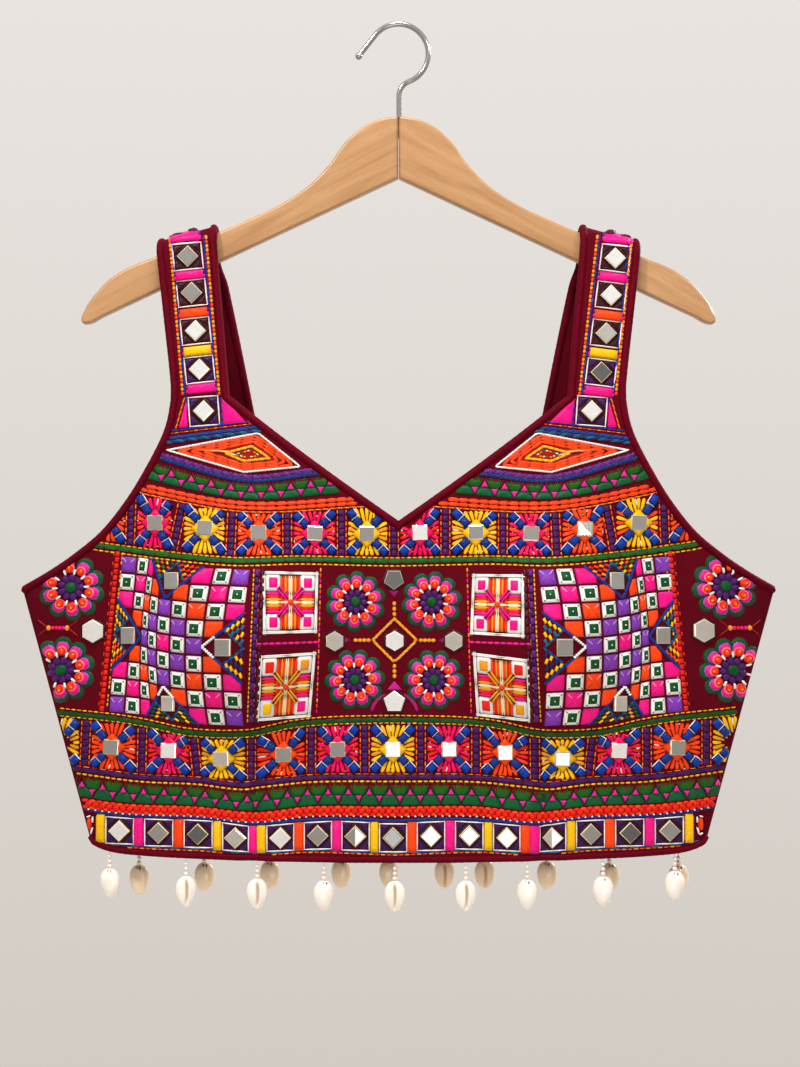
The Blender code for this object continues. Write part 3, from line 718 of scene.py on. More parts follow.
def beyond(pairs, distance, least=0.0, closed=False):
    """A line beside an edge, further out along the cloth, and below the straps so far from y = 0."""
    point, inner = pairs[:, 0], pairs[:, 1]
    run = run_of(point, closed)
    out = point - inner
    out = unit(out - run * (out * run).sum(1)[:, None])
    level = out * [1, 0, 1]
    level /= np.maximum(np.linalg.norm(level, axis=1)[:, None], 1e-9)
    line = point + level * (distance + abs(out[:, 1:2]) * CLOTH)
    line[:, 1] += out[:, 1] * distance / 2
    low = line[:, 2] < BACK_BASE_Z
    line[low, 1] = np.copysign(np.maximum(abs(line[low, 1]), least), point[low, 1])
    return line


def divided(path, pitch, least=1):
    """Points at an even pitch along a path, and the path's length."""
    length = np.concatenate([[0], np.cumsum(np.linalg.norm(np.diff(path, axis=0), axis=1))])
    at = np.linspace(0, length[-1], max(round(length[-1] / pitch), least) + 1)
    return np.stack([np.interp(at, length, way) for way in path.T], 1), length[-1]


def mesh_piece(name, points, faces, runs, material):
    """A piece made of faces, its map "run" in millimetres with a pair for each corner of each face."""
    mesh = bpy.data.meshes.new(name)
    mesh.from_pydata(points.tolist(), [], faces)
    mesh.uv_layers.new(name="run").data.foreach_set("uv", np.asarray(runs, np.float32).ravel())
    mesh.materials.append(material)
    piece = bpy.data.objects.new(name, mesh)
    bpy.context.scene.collection.objects.link(piece)
    return piece


def piping(name, line, radius, stands_for, closed=False):
    """A rounded binding along a line, as a swept ring whose map runs along it."""
    points, length = divided(np.vstack([line, line[:1]]) if closed else line, PIPING_STEP, 8)
    points = points[:-1] if closed else points
    count = len(points)
    run = run_of(points, closed)
    side = unit(np.cross(run, [0.0, 1.0, 0.0]))
    lift = np.cross(side, run)
    along = np.arange(count) * (length / count)
    turns = np.arange(BINDING_SIDES) * 2 * math.pi / BINDING_SIDES
    swell = radius - PIPING_PUCKER * (1 + np.cos(along * 2 * math.pi / PIPING_STITCH)) / 2
    if not closed:
        from_end = np.minimum(np.arange(count), np.arange(count)[::-1]) / END_RINGS
        swell *= np.clip(np.sqrt(1 - (1 - np.minimum(from_end, 1)) ** 2), END_LEAST, 1)
    ring = np.cos(turns)[None, :, None] * side[:, None] + np.sin(turns)[None, :, None] * lift[:, None]
    ring = points[:, None] + swell[:, None, None] * ring
    faces, maps = [], []
    girth = 2 * math.pi * radius * 1000 / BINDING_SIDES
    pace = length / count * 1000
    for i in range(count if closed else count - 1):
        j = (i + 1) % count
        for k in range(BINDING_SIDES):
            m = (k + 1) % BINDING_SIDES
            faces.append([n * BINDING_SIDES + corner for n, corner in ((i, k), (j, k), (j, m), (i, m))])
            square = ((i, k), (i + 1, k), (i + 1, k + 1), (i, k + 1))
            maps += [(n * pace, corner * girth) for n, corner in square]
    if not closed:
        faces.append(range(BINDING_SIDES))
        faces.append(range(count * BINDING_SIDES)[:-BINDING_SIDES - 1:-1])
        maps += [(0, 0)] * (2 * BINDING_SIDES)
    piece = mesh_piece(name, ring.reshape(-1, 3), faces, maps, binding_satin)
    piece.data.validate()
    start_edit(piece)
    end_edit(piece)
    smooth(piece, 60)
    belong(piece, "binding", stands_for=stands_for)


def mirrored(pairs):
    return (pairs * [-1, 1, 1])[::-1]


# how a binding's last two points turn round the corner of the side seam
HEM_CURL = np.array([(0.0006, 0, 0.0012), (0.0002, 0, 0.0036)])
UNDERARM_CURL = np.array([(0.0007, 0, -0.0009), (0.0002, 0, -0.0034)])


def make_bindings():
    front_side, back_side, strap = front_side_point(1), back_point(1), strap_point(1)
    left, right, down, up = (-EDGE_STEP, 0), (EDGE_STEP, 0), (0, -EDGE_STEP), (0, EDGE_STEP)
    armhole = np.vstack([edge(front_side, (1, 1), (SEAM_SHARE, 1), left)[:-1],
                         edge(strap, (0, 0), (0, 1), right, LONG_EDGE_POINTS),
                         edge(back_side, (1, 1), (1, SEAM_SHARE), left)[1:]])
    line = beyond(armhole, EDGE_AWAY, BINDING_RADIUS + SEAM_GAP / 2)
    line = np.vstack([line[0] + UNDERARM_CURL[::-1], line, line[-1] + UNDERARM_CURL])
    for word, sign in SIDES:
        piping(f"armhole_piping_{word}", line * [sign, 1, 1], BINDING_RADIUS, f"armhole_binding_{word}")
    corner = (1 + STRAP_BASE_X / PRINCESS_SEAM[-1][1]) / 2
    half = np.vstack([edge(front_centre_point, (0.5, corner), (1, 1), down),
                      edge(strap, (1, 1), (0, 1), left, LONG_EDGE_POINTS)[1:],
                      edge(back_side, (0, 0), (1, SEAM_SHARE), right)[1:]])
    half[[0, -1], :, 0] = 0
    half[-1, 1] = half[-1, 0] - [0, 0, CLOTH]
    whole = np.vstack([half, mirrored(half[1:-1])])
    piping("neck_piping", beyond(whole, EDGE_AWAY, closed=True), BINDING_RADIUS, "neck_binding", closed=True)
    front_hem = np.vstack([edge(front_centre_point, (0.5, 1), (0, 0), up),
                           edge(front_side, (0, 1), (0, 0), up)[1:]])
    back_hem = edge(back_side, (0, 1), (0, 0), up, LONG_EDGE_POINTS)
    for word, hem in (("front", front_hem), ("back", back_hem)):
        line = beyond(np.vstack([mirrored(hem[1:]), hem]), HEM_AWAY, HEM_RADIUS + SEAM_GAP / 2)
        line = np.vstack([line[0] + HEM_CURL[::-1] * [-1, 1, 1], line, line[-1] + HEM_CURL])
        piping(f"hem_piping_{word}", line, HEM_RADIUS, f"hem_binding_{word}")


# ---------------------------------------------------------------- hanger

WIRE_RADIUS = 0.00175
HOOK_RADIUS = 0.0192
HOOK_TAIL_TURN = math.radians(52)
HOOK_TAIL = 0.0170
NECK_BEND = 0.0100
STEM_X = 0.0003
STEM_END_Z = -0.0720
TIP_RADIUS = 0.0023
WOOD_FLAT = 0.0026
WOOD_ROUND = 0.0020
WOOD_TOP = (                # x and z of the arm's upper edge
    (0.0000, -0.0583), (0.0161, -0.0616), (0.0316, -0.0723), (0.0471, -0.0923), (0.0636, -0.1074),
    (0.1023, -0.1274), (0.1566, -0.1489), (0.1818, -0.1603), (0.1950, -0.1726))
WOOD_TIP = ((0.2018, -0.1826), (0.2042, -0.1893), (0.2035, -0.1916), (0.2004, -0.1921), (0.1900, -0.1872))
WOOD_FOOT_Z = -0.0983
BORE_DEPTH = 0.060


def steps(start, end, count):
    return [mix(start, end, i / count) for i in range(count + 1)]


def spoke(turn, length):
    return length * Vector((math.cos(turn), 0, math.sin(turn)))


def hook_points():
    """The hook's wire, from its tip over the crown and down the stem."""
    middle = Vector((0, 0, WIRE_RADIUS - HOOK_RADIUS))
    reach = STEM_X + NECK_BEND
    drop = math.sqrt((HOOK_RADIUS + NECK_BEND) ** 2 - reach ** 2)
    meet = math.atan2(-drop, reach)
    start = math.pi / 2 + HOOK_TAIL_TURN
    arc_start = middle + spoke(start, HOOK_RADIUS)
    along = Vector((-math.sin(start), 0, math.cos(start)))
    points = [arc_start + along * length for length in steps(HOOK_TAIL, 0, 6)[:-1]]
    points += [middle + spoke(turn, HOOK_RADIUS) for turn in steps(start, meet, 72)]
    bend = middle + Vector((reach, 0, -drop))
    points += [bend + spoke(turn, NECK_BEND) for turn in steps(meet + math.pi, math.pi, 14)[1:]]
    return points + [Vector((STEM_X, 0, STEM_END_Z))]


def curve_to_mesh(thing, name, material):
    """A curve made a mesh at the origin, its doubles merged and its faces turned outwards."""
    bpy.context.scene.collection.objects.link(thing)
    thing.select_set(True)
    bpy.context.view_layer.objects.active = thing
    bpy.ops.object.convert(target="MESH")
    bpy.ops.object.transform_apply(location=True, rotation=True, scale=True)
    start_edit(thing)
    bpy.ops.mesh.remove_doubles(threshold=0.00001)
    end_edit(thing)
    return active(name, material)


def make_hook():
    """Bent wire with a ball at its tip."""
    wire = bpy.data.curves.new("wire", "CURVE")
    wire.dimensions = "3D"
    wire.bevel_depth = WIRE_RADIUS
    wire.bevel_resolution = 5
    wire.use_fill_caps = True
    points = hook_points()
    spline = wire.splines.new("POLY")
    spline.points.add(len(points) - 1)
    for point, place in zip(spline.points, points):
        point.co = (*place, 1)
    hook = curve_to_mesh(bpy.data.objects.new("wire", wire), "chrome_hook", chrome)
    bpy.ops.mesh.primitive_uv_sphere_add(segments=28, ring_count=18, radius=TIP_RADIUS, location=points[0])
    bpy.ops.object.transform_apply(location=True, rotation=True, scale=True)
    ball = active("tip", chrome)
    modified(hook, "BOOLEAN", operation="UNION", solver="EXACT", object=ball)
    bpy.data.objects.remove(ball, do_unlink=True)
    smooth(hook, 55)
    belong(hook, "hook_wire", stands_for="hanger_hook")


def make_arm(word, sign, bore):
    """One wooden arm: its outline with rounded edges, and half of the hook's bore."""
    outline = bpy.data.curves.new(f"outline_{word}", "CURVE")
    outline.dimensions = "2D"
    outline.fill_mode = "BOTH"
    outline.extrude = WOOD_FLAT
    outline.bevel_depth = WOOD_ROUND
    outline.bevel_resolution = 5
    outline.offset = -WOOD_ROUND
    outline.resolution_u = 14
    half_gap = SEAM_GAP / 2
    corners = [(max(x, half_gap), z) for x, z in WOOD_TOP + WOOD_TIP] + [(half_gap, WOOD_FOOT_Z)]
    spline = outline.splines.new("BEZIER")
    spline.bezier_points.add(len(corners) - 1)
    for i, (point, (x, z)) in enumerate(zip(spline.bezier_points, corners)):
        point.co = (sign * x, z, 0)
        kind = "VECTOR" if i in (0, len(corners) - 1) else "AUTO"
        point.handle_left_type = kind
        point.handle_right_type = kind
    spline.use_cyclic_u = True
    thing = bpy.data.objects.new(f"arm_{word}", outline)
    thing.rotation_euler = (math.pi / 2, 0, 0)
    arm = curve_to_mesh(thing, f"beech_arm_{word}", beech[word])
    modified(arm, "BOOLEAN", operation="DIFFERENCE", solver="EXACT", object=bore)
    smooth(arm, 40)
    belong(arm, "hanger_wood", stands_for=f"hanger_arm_{word}")


def make_hanger():
    bpy.ops.mesh.primitive_cylinder_add(vertices=32, radius=WIRE_RADIUS + SEAM_GAP, depth=BORE_DEPTH,
                                        location=(STEM_X, 0, STEM_END_Z - SEAM_GAP + BORE_DEPTH / 2))
    bore = active("bore", chrome)
    for word, sign in SIDES:
        make_arm(word, sign, bore)
    bpy.data.objects.remove(bore, do_unlink=True)
    make_hook()


# ---------------------------------------------------------------- drops of beads and a cowrie

THREAD_RADIUS = 0.0004
THREAD_TAPER = 0.35         # how thick the thread is where it leaves the hem, as a share
BEAD_RADII = (0.0013, 0.0015, 0.0017)
BEAD_PITCH = 0.0029
BEAD_HEIGHT = 0.93          # a bead's height as a share of its width
DROP_TOP_THREAD = 0.0016
COWRIE_LENGTH = 0.0195
COWRIE_WIDTH = 0.0132
COWRIE_DEPTH = 0.0086
COWRIE_FLAT = 0.72
COWRIE_TAPER = 0.16
COWRIE_LEAN = 14            # most degrees that a shell is turned on its thread
FRONT_DROPS = (             # x, way that the shell's mouth faces: -1 to the front, 1 to the back
    (-0.1850, 1), (-0.1340, -1), (-0.0885, -1), (-0.0465, 1), (-0.0022, -1), (0.0420, -1), (0.0805, 1),
    (0.1290, 1), (0.1765, 1))
BACK_DROPS = ((-0.1690, 1), (-0.1275, 1), (-0.0850, 1), (-0.0380, 1), (-0.0063, 1), (0.0305, -1),
              (0.0570, -1), (0.0980, 1), (0.1385, 1), (0.1820, 1))
MOUTH_WIDTH = 0.13          # half width of the mouth's lips, as a share of the shell's half width
MOUTH_DEPTH = 0.42
SHELL_TEETH = 11
DRILL_HOLES = ((-0.16, 0.80, 0.075), (0.10, 0.84, 0.055))   # x, up, radius in shares of the half sizes
SHELL_IVORY = np.array([1.0, 1.0, 1.0])
MOUTH_GOLD = dye(196, 146, 62)
# painted shade for the drill holes, which are only shallow dents
HOLE_SHADE = dye(52, 34, 26)
BACK_ROSE = dye(236, 214, 190)


def add_dyes(mesh, colours):
    """The dye of each point, as the attribute "dye"."""
    attribute = mesh.color_attributes.new("dye", "FLOAT_COLOR", "POINT")
    colours = np.hstack([colours, np.ones((len(colours), 1))])
    attribute.data.foreach_set("color", colours.astype(np.float32).ravel())


def make_cowrie_form():
    """The shell's egg on a unit sphere, mouth towards -Y: its points and the dye of each."""
    bpy.ops.mesh.primitive_uv_sphere_add(segments=56, ring_count=36, radius=1)
    form = active("cowrie_form", pearl)
    points = get_points(form.data)
    x, y, up = points.T.copy()
    mouth_side = y < 0
    wide = 1 + COWRIE_TAPER * up
    bow = 0.16 * np.cos(up * 1.3) - 0.10
    away = (x - bow) / MOUTH_WIDTH
    length = np.clip(1 - (up / 0.86) ** 4, 0, 1)
    groove = np.exp(-away ** 2 * 1.4) * length * mouth_side
    teeth = (0.5 + 0.5 * np.cos(up * math.pi * SHELL_TEETH)) * np.exp(-(abs(away) - 1.3) ** 2 * 3)
    lips = np.exp(-(abs(away) - 1.9) ** 2 * 1.2) * length * mouth_side
    y = y * wide * np.where(mouth_side, COWRIE_FLAT, 1.0)
    y = y + groove * MOUTH_DEPTH - lips * 0.09 + teeth * length * mouth_side * 0.10
    colours = np.tile(SHELL_IVORY, (len(points), 1))

    def stain(colour, share):
        return mix(colours, colour, share[:, None])

    colours = stain(MOUTH_GOLD, np.clip(groove * 1.6, 0, 1) * np.clip(0.75 + 0.5 * up, 0.2, 1) * 0.85)
    # painted shade: darker along the deepest line of the mouth's slit
    colours = stain(MOUTH_GOLD * 0.25, np.clip(groove * 2.2 - 1.3, 0, 1) * 0.5)
    # each drill hole: a shallow dent, painted dark as the shade inside the hole
    for hole_x, hole_up, radius in DRILL_HOLES:
        inside = np.clip(1.6 - np.hypot(x - hole_x, up - hole_up) / radius, 0, 1) * ~mouth_side
        colours = stain(HOLE_SHADE, inside)
        y = y - 0.10 * inside
    colours = stain(BACK_ROSE, np.clip((y * ~mouth_side - 0.86) * 4, 0, 1) * 0.10)
    scale = np.array([COWRIE_WIDTH, COWRIE_DEPTH, COWRIE_LENGTH]) / 2
    set_points(form.data, np.stack([x * wide, y, up], 1) * scale)
    add_dyes(form.data, colours)
    form.data.shade_smooth()
    return form


def make_bead_form():
    """Three beads on their thread, hanging down from the origin."""
    bpy.ops.mesh.primitive_cylinder_add(vertices=8, radius=THREAD_RADIUS, depth=1, location=(0, 0, 0))
    parts = [active("thread", pearl)]
    length = DROP_TOP_THREAD + BEAD_PITCH * len(BEAD_RADII) + COWRIE_LENGTH * 0.12
    points = get_points(parts[0].data)
    points[points[:, 2] > 0, :2] *= THREAD_TAPER    # clear of the hem when the drop swings
    set_points(parts[0].data, points * [1, 1, length] - [0, 0, length / 2])
    for n, radius in enumerate(BEAD_RADII):
        bpy.ops.mesh.primitive_uv_sphere_add(segments=20, ring_count=12, radius=radius)
        bead = active("bead", pearl)
        middle = -DROP_TOP_THREAD - n * BEAD_PITCH - radius
        set_points(bead.data, get_points(bead.data) * [1, 1, BEAD_HEIGHT] + [0, 0, middle])
        parts.append(bead)
    for part in parts:
        part.select_set(True)
    bpy.context.view_layer.objects.active = parts[0]
    bpy.ops.object.join()
    form = active("bead_form", pearl)
    form.data.shade_smooth()
    return form


def drop_top(name, word, x):
    """Where a drop's thread leaves the hem binding: the top of its CAD node."""
    z = hem_z(x) - HEM_AWAY
    depth, side = (front_depth(x, z), -1) if word == "front" else (back_depth(x, z), 1)
    return np.array([x, side * max(depth, HEM_RADIUS + SEAM_GAP / 2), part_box(name)[1].z])


def copy_of(form, name, place, material):
    """A form's own copy: its points put in place by a function and its object at the origin."""
    piece = bpy.data.objects.new(name, form.data.copy())
    piece.data.name = name
    set_points(piece.data, place(get_points(form.data)))
    bpy.context.scene.collection.objects.link(piece)
    piece.data.materials.clear()
    piece.data.materials.append(material)
    return piece


def make_drops():
    cowrie, string = make_cowrie_form(), make_bead_form()
    balance = 0.375 * (1 - COWRIE_FLAT) * COWRIE_DEPTH / 2
    hang = DROP_TOP_THREAD + BEAD_PITCH * len(BEAD_RADII) + COWRIE_LENGTH / 2
    for word, drops in (("front", FRONT_DROPS), ("back", BACK_DROPS)):
        for number, (x, mouth) in enumerate(drops, 1):
            name = f"{word}_drop_{number}"
            top = drop_top(name, word, x)
            turn = math.pi * (mouth > 0) + math.radians(random.uniform(-COWRIE_LEAN, COWRIE_LEAN))

            def shell_place(points):
                c, s = math.cos(turn), math.sin(turn)
                swung = points @ np.array([[c, s, 0], [-s, c, 0], [0, 0, 1]])
                return swung + top + [0, mouth * balance, -hang]

            shell = copy_of(cowrie, f"{name}_cowrie", shell_place, glazes[word])
            belong(shell, "cowrie_shell", name, name)
            beads = copy_of(string, f"{name}_beads", lambda points: points + top, pearl)
            belong(beads, "cowrie_shell", name)
    for form in (cowrie, string):
        bpy.data.objects.remove(form, do_unlink=True)


# ---------------------------------------------------------------- needlework: forms of stitches

EDGE_MARGIN = -0.0006       # stitches run this far on under the bindings
SIDE_MARGIN = 0.0012        # and this far from the side seams
SUNK = 0.0002               # a stitch's foot lies this deep in the cloth
NECK_XS = np.linspace(0, STRAP_BASE_X, 60)
NECK_ZS = neck_z(NECK_XS)
FOLD_END = 0.985            # how far round the strap's fold the chart reaches, as a share of its height
SLOPE_STEP = 0.0006
STEP_MM = CHART_STEP * 1000
CRISP = 60                  # degrees between faces past which a stitch's edge is sharp


def front_reach(z):
    """Nearest and furthest distance from the centre line at which the front has cloth, at a height."""
    body = np.where(z < UNDERARM_Z, half_width(z) - SIDE_MARGIN, read(FRONT_ARMHOLE, z) - EDGE_MARGIN)
    outer = np.where(z < FRONT_ARMHOLE[-1][0], body, read(STRAP_OUTER, z) - EDGE_MARGIN)
    neck = np.where(z < NECK_V_Z, -1.0, np.interp(z, NECK_ZS, NECK_XS) + EDGE_MARGIN)
    inner = np.where(z < STRAP_INNER[0][0], neck, read(STRAP_INNER, z) + EDGE_MARGIN)
    return inner, outer


def skin_depth(x, z):
    """Depth of the front's middle, round the straps' fold too."""
    rise = np.clip((z - fold_centre(x)) / SHOULDER_DEPTH, 0, FOLD_END)
    return front_depth(x, np.minimum(z, fold_centre(x))) * np.sqrt(1 - rise ** 2)


def to_front(chart):
    """x and z on the front for points of the chart."""
    depth = 0.0
    for _ in range(5):
        step = CHART_STEP * (1 - depth / EYE_DISTANCE)
        x = (chart[:, 0] - CHART_X) * step
        z = EYE_Z + (CHART_Y - chart[:, 1]) * step
        depth = skin_depth(x, z)
    return x, z


def on_cloth(chart, out):
    """Chart points on the front's outer face, kept within its edges and moved out along its normal."""
    x, z = to_front(chart)
    inner, outer = front_reach(z)
    x = np.where(x < 0, -1.0, 1.0) * np.clip(abs(x), np.maximum(inner, 0), outer)
    z = np.maximum(z, hem_z(x) + EDGE_MARGIN)

    def slope(dx, dz):
        return (skin_depth(x + dx, z + dz) - skin_depth(x - dx, z - dz)) / (2 * SLOPE_STEP)

    normal = unit(np.stack([-slope(SLOPE_STEP, 0), -np.ones_like(x), -slope(0, SLOPE_STEP)], 1))
    return np.stack([x, -skin_depth(x, z), z], 1) + normal * (CLOTH / 2 + out)[:, None]


def on_back(chart, out):
    """Chart points on the back's outer face, as if the chart were seen through the blouse."""
    x = (chart[:, 0] - CHART_X) * CHART_STEP
    z = EYE_Z + (CHART_Y - chart[:, 1]) * CHART_STEP
    return np.stack([x, back_depth(x, z) + CLOTH / 2 + out, z], 1)


def have_cloth(chart):
    """Which points of the chart have cloth behind them."""
    x, z = to_front(chart)
    inner, outer = front_reach(z)
    return (abs(x) > inner) & (abs(x) < outer) & (z > hem_z(x))


class Form:
    """A stitch's plain form, modelled once: a disc drawn up through rings of (radius, height)."""

    def __init__(self, sides, rings, peak=None):
        bpy.ops.mesh.primitive_circle_add(vertices=sides, radius=rings[0][0], fill_type="NGON")
        thing = active("stitch_form", silk)
        start_edit(thing)
        for (radius, height), (next_radius, next_height) in zip(rings, rings[1:]):
            rise = (0, 0, next_height - height)
            bpy.ops.mesh.extrude_region_move(TRANSFORM_OT_translate={"value": rise})
            share = next_radius / radius
            bpy.ops.transform.resize(value=(share, share, 1))
        if peak is not None:
            bpy.ops.mesh.poke(offset=peak - rings[-1][1])
        end_edit(thing)
        self.across, self.up, self.height = get_points(thing.data).T
        self.radius = np.hypot(self.across, self.up)
        turn = np.arctan2(self.across, self.up)
        self.index = np.round(turn * sides / (2 * math.pi)).astype(int) % sides
        self.faces = [tuple(face.vertices) for face in thing.data.polygons]
        bpy.data.objects.remove(thing, do_unlink=True)


cushions = {sides: Form(sides, ((1.0, 0.0), (0.90, 0.60), (0.58, 0.95)), 1.0) for sides in (8, 10, 12)}
plates = {sides: Form(sides, ((1.0, 0.0), (1.0, 0.75), (0.92, 1.0))) for sides in (4, 5, 6)}
stitch_form = Form(5, ((0.5, 0.0), (1.0, 0.25), (1.0, 0.75), (0.5, 1.0)))
strand_form = Form(6, ((0.4, 0.0), (0.86, 0.14), (1.0, 0.5), (0.86, 0.86), (0.4, 1.0)))
petal_form = Form(6, ((0.35, 0.0), (0.62, 0.12), (0.86, 0.40), (1.0, 0.72), (0.88, 0.91), (0.42, 1.0)))


def next_to(corners):
    return np.roll(corners, -1, 0)


def clockwise(outline):
    """The same outline, going round as a clock's hand does on the chart."""
    outline = np.asarray(outline, float)
    return outline if twice_area(outline) > 0 else outline[::-1]


def twice_area(outline):
    ahead = next_to(outline)
    return (outline[:, 0] * ahead[:, 1] - ahead[:, 0] * outline[:, 1]).sum()


def filled(forms, outline):
    """The form for an outline, the form's points on the chart, and the same from their middle in mm."""
    outline = clockwise(outline)
    form = forms[len(outline)]
    from_middle = (outline - outline.mean(0))[form.index] * form.radius[:, None]
    return form, outline.mean(0) + from_middle, from_middle * STEP_MM


class Work:
    """Stitches of one piece, gathered on the chart and then laid on the cloth as one mesh."""

    def __init__(self, name, material, slot, flat=False, behind=False):
        self.name, self.material, self.slot, self.flat, self.behind = name, material, slot, flat, behind
        self.stitches = []
        self.fold = None        # the chart's column about which the work is being repeated, if it is

    def both_sides(self, middle, sew_side):
        """Sews a side twice, the second time folded over about a column of the chart."""
        sew_side()
        self.fold = middle
        sew_side()
        self.fold = None

    def add(self, form, chart, out, colours, run):
        flipped = self.fold is not None
        if flipped:
            chart = chart * [-1, 1] + [2 * self.fold, 0]
        self.stitches.append((form, chart, out - SUNK, colours, run + random.uniform(0, 40), flipped))

    def pad(self, outline, colour, thick, lift=0.0, lean=90.0, edge_shade=0.42):
        """A padded satin patch, its threads leaning so many degrees from level."""
        form, chart, flat = filled(cushions, outline)
        # painted shade: each patch darkens towards its rim, down to edge_shade, where it meets the cloth and
        # its neighbours; the random factor is the thread's own tone, which differs from patch to patch
        shade = np.interp(form.radius, [0, 0.86, 0.91, 1.0], [1.0, 0.96, 0.82, edge_shade])
        shade *= random.uniform(0.93, 1.07)
        c, s = toward(lean)
        run = np.stack([flat[:, 0] * c + flat[:, 1] * s, flat[:, 1] * c - flat[:, 0] * s], 1)
        self.add(form, chart, lift + thick * form.height, colour * shade[:, None], run)

    def patch(self, corners, cut, *rest):
        """A padded patch between corners that are slightly cut."""
        self.pad(rounded(corners, cut), *rest)

    def strand(self, start, end, width, colour, thick, lift=0.0, form=strand_form, bow=0.0, twist=0.0):
        """A raised bundle of threads from start to end."""
        start, end = np.asarray(start, float), np.asarray(end, float)
        along = end - start
        length = np.hypot(*along)
        if length < 0.05:
            return
        side = np.array([along[1], -along[0]]) / length
        t = form.height
        chart = start + along * t[:, None] + side * (form.across * width / 2 + bow * 4 * t * (1 - t))[:, None]
        out = lift + thick * (0.5 + 0.5 * form.up) * (0.45 + 0.55 * form.radius)
        # painted light and shade: lighter on the strand's top, darker down its sides and underside
        shade = np.clip(0.76 + 0.30 * form.up, 0.40, 1.0) * random.uniform(0.93, 1.07)
        turn = np.arctan2(form.across, form.up) * width / 2 * STEP_MM
        distance = t * length * STEP_MM
        run = np.stack([distance, turn + distance * twist], 1)
        self.add(form, chart, out, colour * shade[:, None], run)

    def stitch(self, start, end, width, colour, thick, lift=0.0, twist=0.0):
        """A plain straight stitch."""
        self.strand(start, end, width, colour, thick, lift, stitch_form, twist=twist)

    def plate(self, outline, colour, thick, lift=0.0):
        """A flat cut shape with a bevelled edge."""
        form, chart, flat = filled(plates, outline)
        self.add(form, chart, lift + thick * form.height, np.tile(colour, (len(chart), 1)), flat)

    def finish(self):
        """Lays on the cloth all stitches that have cloth behind their middle, as one named piece."""
        kept = have_cloth(np.array([stitch[1].mean(0) for stitch in self.stitches])) | self.behind
        kept = [stitch for stitch, keep in zip(self.stitches, kept) if keep]
        forms, charts, outs, dyes, runs, flips = zip(*kept)
        faces, count = [], 0
        for form, chart, flipped in zip(forms, charts, flips):
            step = -1 if flipped != self.behind else 1
            faces += [tuple(k + count for k in face[::step]) for face in form.faces]
            count += len(chart)
        lay = on_back if self.behind else on_cloth
        run = np.vstack(runs)[[k for face in faces for k in face]]
        piece = mesh_piece(self.name, lay(np.vstack(charts), np.concatenate(outs)), faces, run, self.material)
        add_dyes(piece.data, np.vstack(dyes))
        if not self.flat:
            smooth(piece, CRISP)
        belong(piece, self.slot)


# ---------------------------------------------------------------- needlework: outlines and rows on the chart

def toward(degrees):
    """A step of one, so many degrees from level."""
    return np.array([math.cos(math.radians(degrees)), math.sin(math.radians(degrees))])


def turned(points, centre, degrees):
    c, s = toward(degrees)
    return np.asarray(points, float) @ np.array([[c, s], [-s, c]]) + centre


def oval(centre, along, across=None, degrees=0.0, sides=12):
    """An oval whose first half width leans so many degrees from level."""
    turns = np.arange(sides) * 2 * math.pi / sides
    across = along if across is None else across
    return turned(np.stack([np.cos(turns) * along, np.sin(turns) * across], 1), centre, degrees)


def regular(sides, radius, centre, degrees=0.0):
    """Corners of a regular outline, the first straight up."""
    return oval(centre, radius, radius, degrees - 90, sides)


def box(centre, half, tall=None, degrees=0.0):
    tall = half if tall is None else tall
    return turned([(-half, -tall), (half, -tall), (half, tall), (-half, tall)], centre, degrees)


SIDE_SHARES = {3: (0.0, 0.36, 0.64, 1.0), 4: (0.0, 0.5, 1.0), 5: (0.0, 1.0), 6: (0.0, 1.0)}


def rounded(corners, cut):
    """A patch's outline of 10 or 12 points: its corners slightly cut, its long sides divided."""
    corners = np.asarray(corners, float)
    return np.array([mix(here, ahead, cut + (1 - 2 * cut) * share)
                     for here, ahead in zip(corners, next_to(corners))
                     for share in SIDE_SHARES[len(corners)]])


def halved(corners):
    """The corners with the middles of their sides between them."""
    return np.stack([corners, (corners + next_to(corners)) / 2], 1).reshape(-1, 2)


def drawn_in(corners, amount):
    """Corners of a rounded-out outline with each of its sides moved in by this amount."""
    corners = clockwise(corners)
    inward = unit(next_to(corners) - corners)[:, ::-1] * [-1, 1]
    before = np.roll(inward, 1, 0)
    return corners + (inward + before) * (amount / (1 + (inward * before).sum(1)))[:, None]


def clipped(corners, a, b, most):
    """The part of an outline where a x + b y is no more than a limit."""
    kept = []
    for here, ahead in zip(corners, next_to(corners)):
        level, next_level = (a * p[0] + b * p[1] - most for p in (here, ahead))
        if level <= 0:
            kept.append(here)
        if level * next_level < 0:
            kept.append(mix(here, ahead, level / (level - next_level)))
    return np.array(kept)


def line_of(table, middle):
    """A line of the chart as y(x), the same on both sides of its middle."""
    return lambda x: read(table, middle - abs(np.asarray(x, float) - middle))


def below(y_at, amount):
    return lambda x: y_at(x) + amount


def trace(y_at, start, end, drop=0.0):
    """A path along a line of the chart, or so far below it."""
    x = np.linspace(start, end, 120)
    return np.stack([x, y_at(x) + drop], 1)


def spaced(path, pitch):
    """Where each stitch of a row starts and ends, at an even pitch along its path."""
    points, _ = divided(np.asarray(path, float), pitch)
    return list(zip(points[:-1], points[1:]))


def beside(start, end, distance):
    """How far to move to the side of a run."""
    run = (end - start) / max(np.hypot(*(end - start)), 1e-6)
    return np.array([-run[1], run[0]]) * distance


def running(work, path, colours, width=1.5, pitch=5.0, thick=0.0007, gap=0.12, lift=0.0):
    """A row of straight stitches, its colours in turn."""
    for n, (a, b) in enumerate(spaced(path, pitch)):
        work.stitch(mix(a, b, gap), mix(b, a, gap), width, colours[n % len(colours)], thick, lift)


def twisted(work, path, colours, width=3.0, pitch=2.6, thick=0.0012, lean=0.55):
    """A cord: stitches side by side that lean across it."""
    for n, (a, b) in enumerate(spaced(path, pitch)):
        reach = (b - a) * 0.8 + beside(a, b, width * lean / 2)
        middle = (a + b) / 2
        work.stitch(middle - reach, middle + reach, width * 0.82, colours[n % len(colours)], thick, twist=0.4)


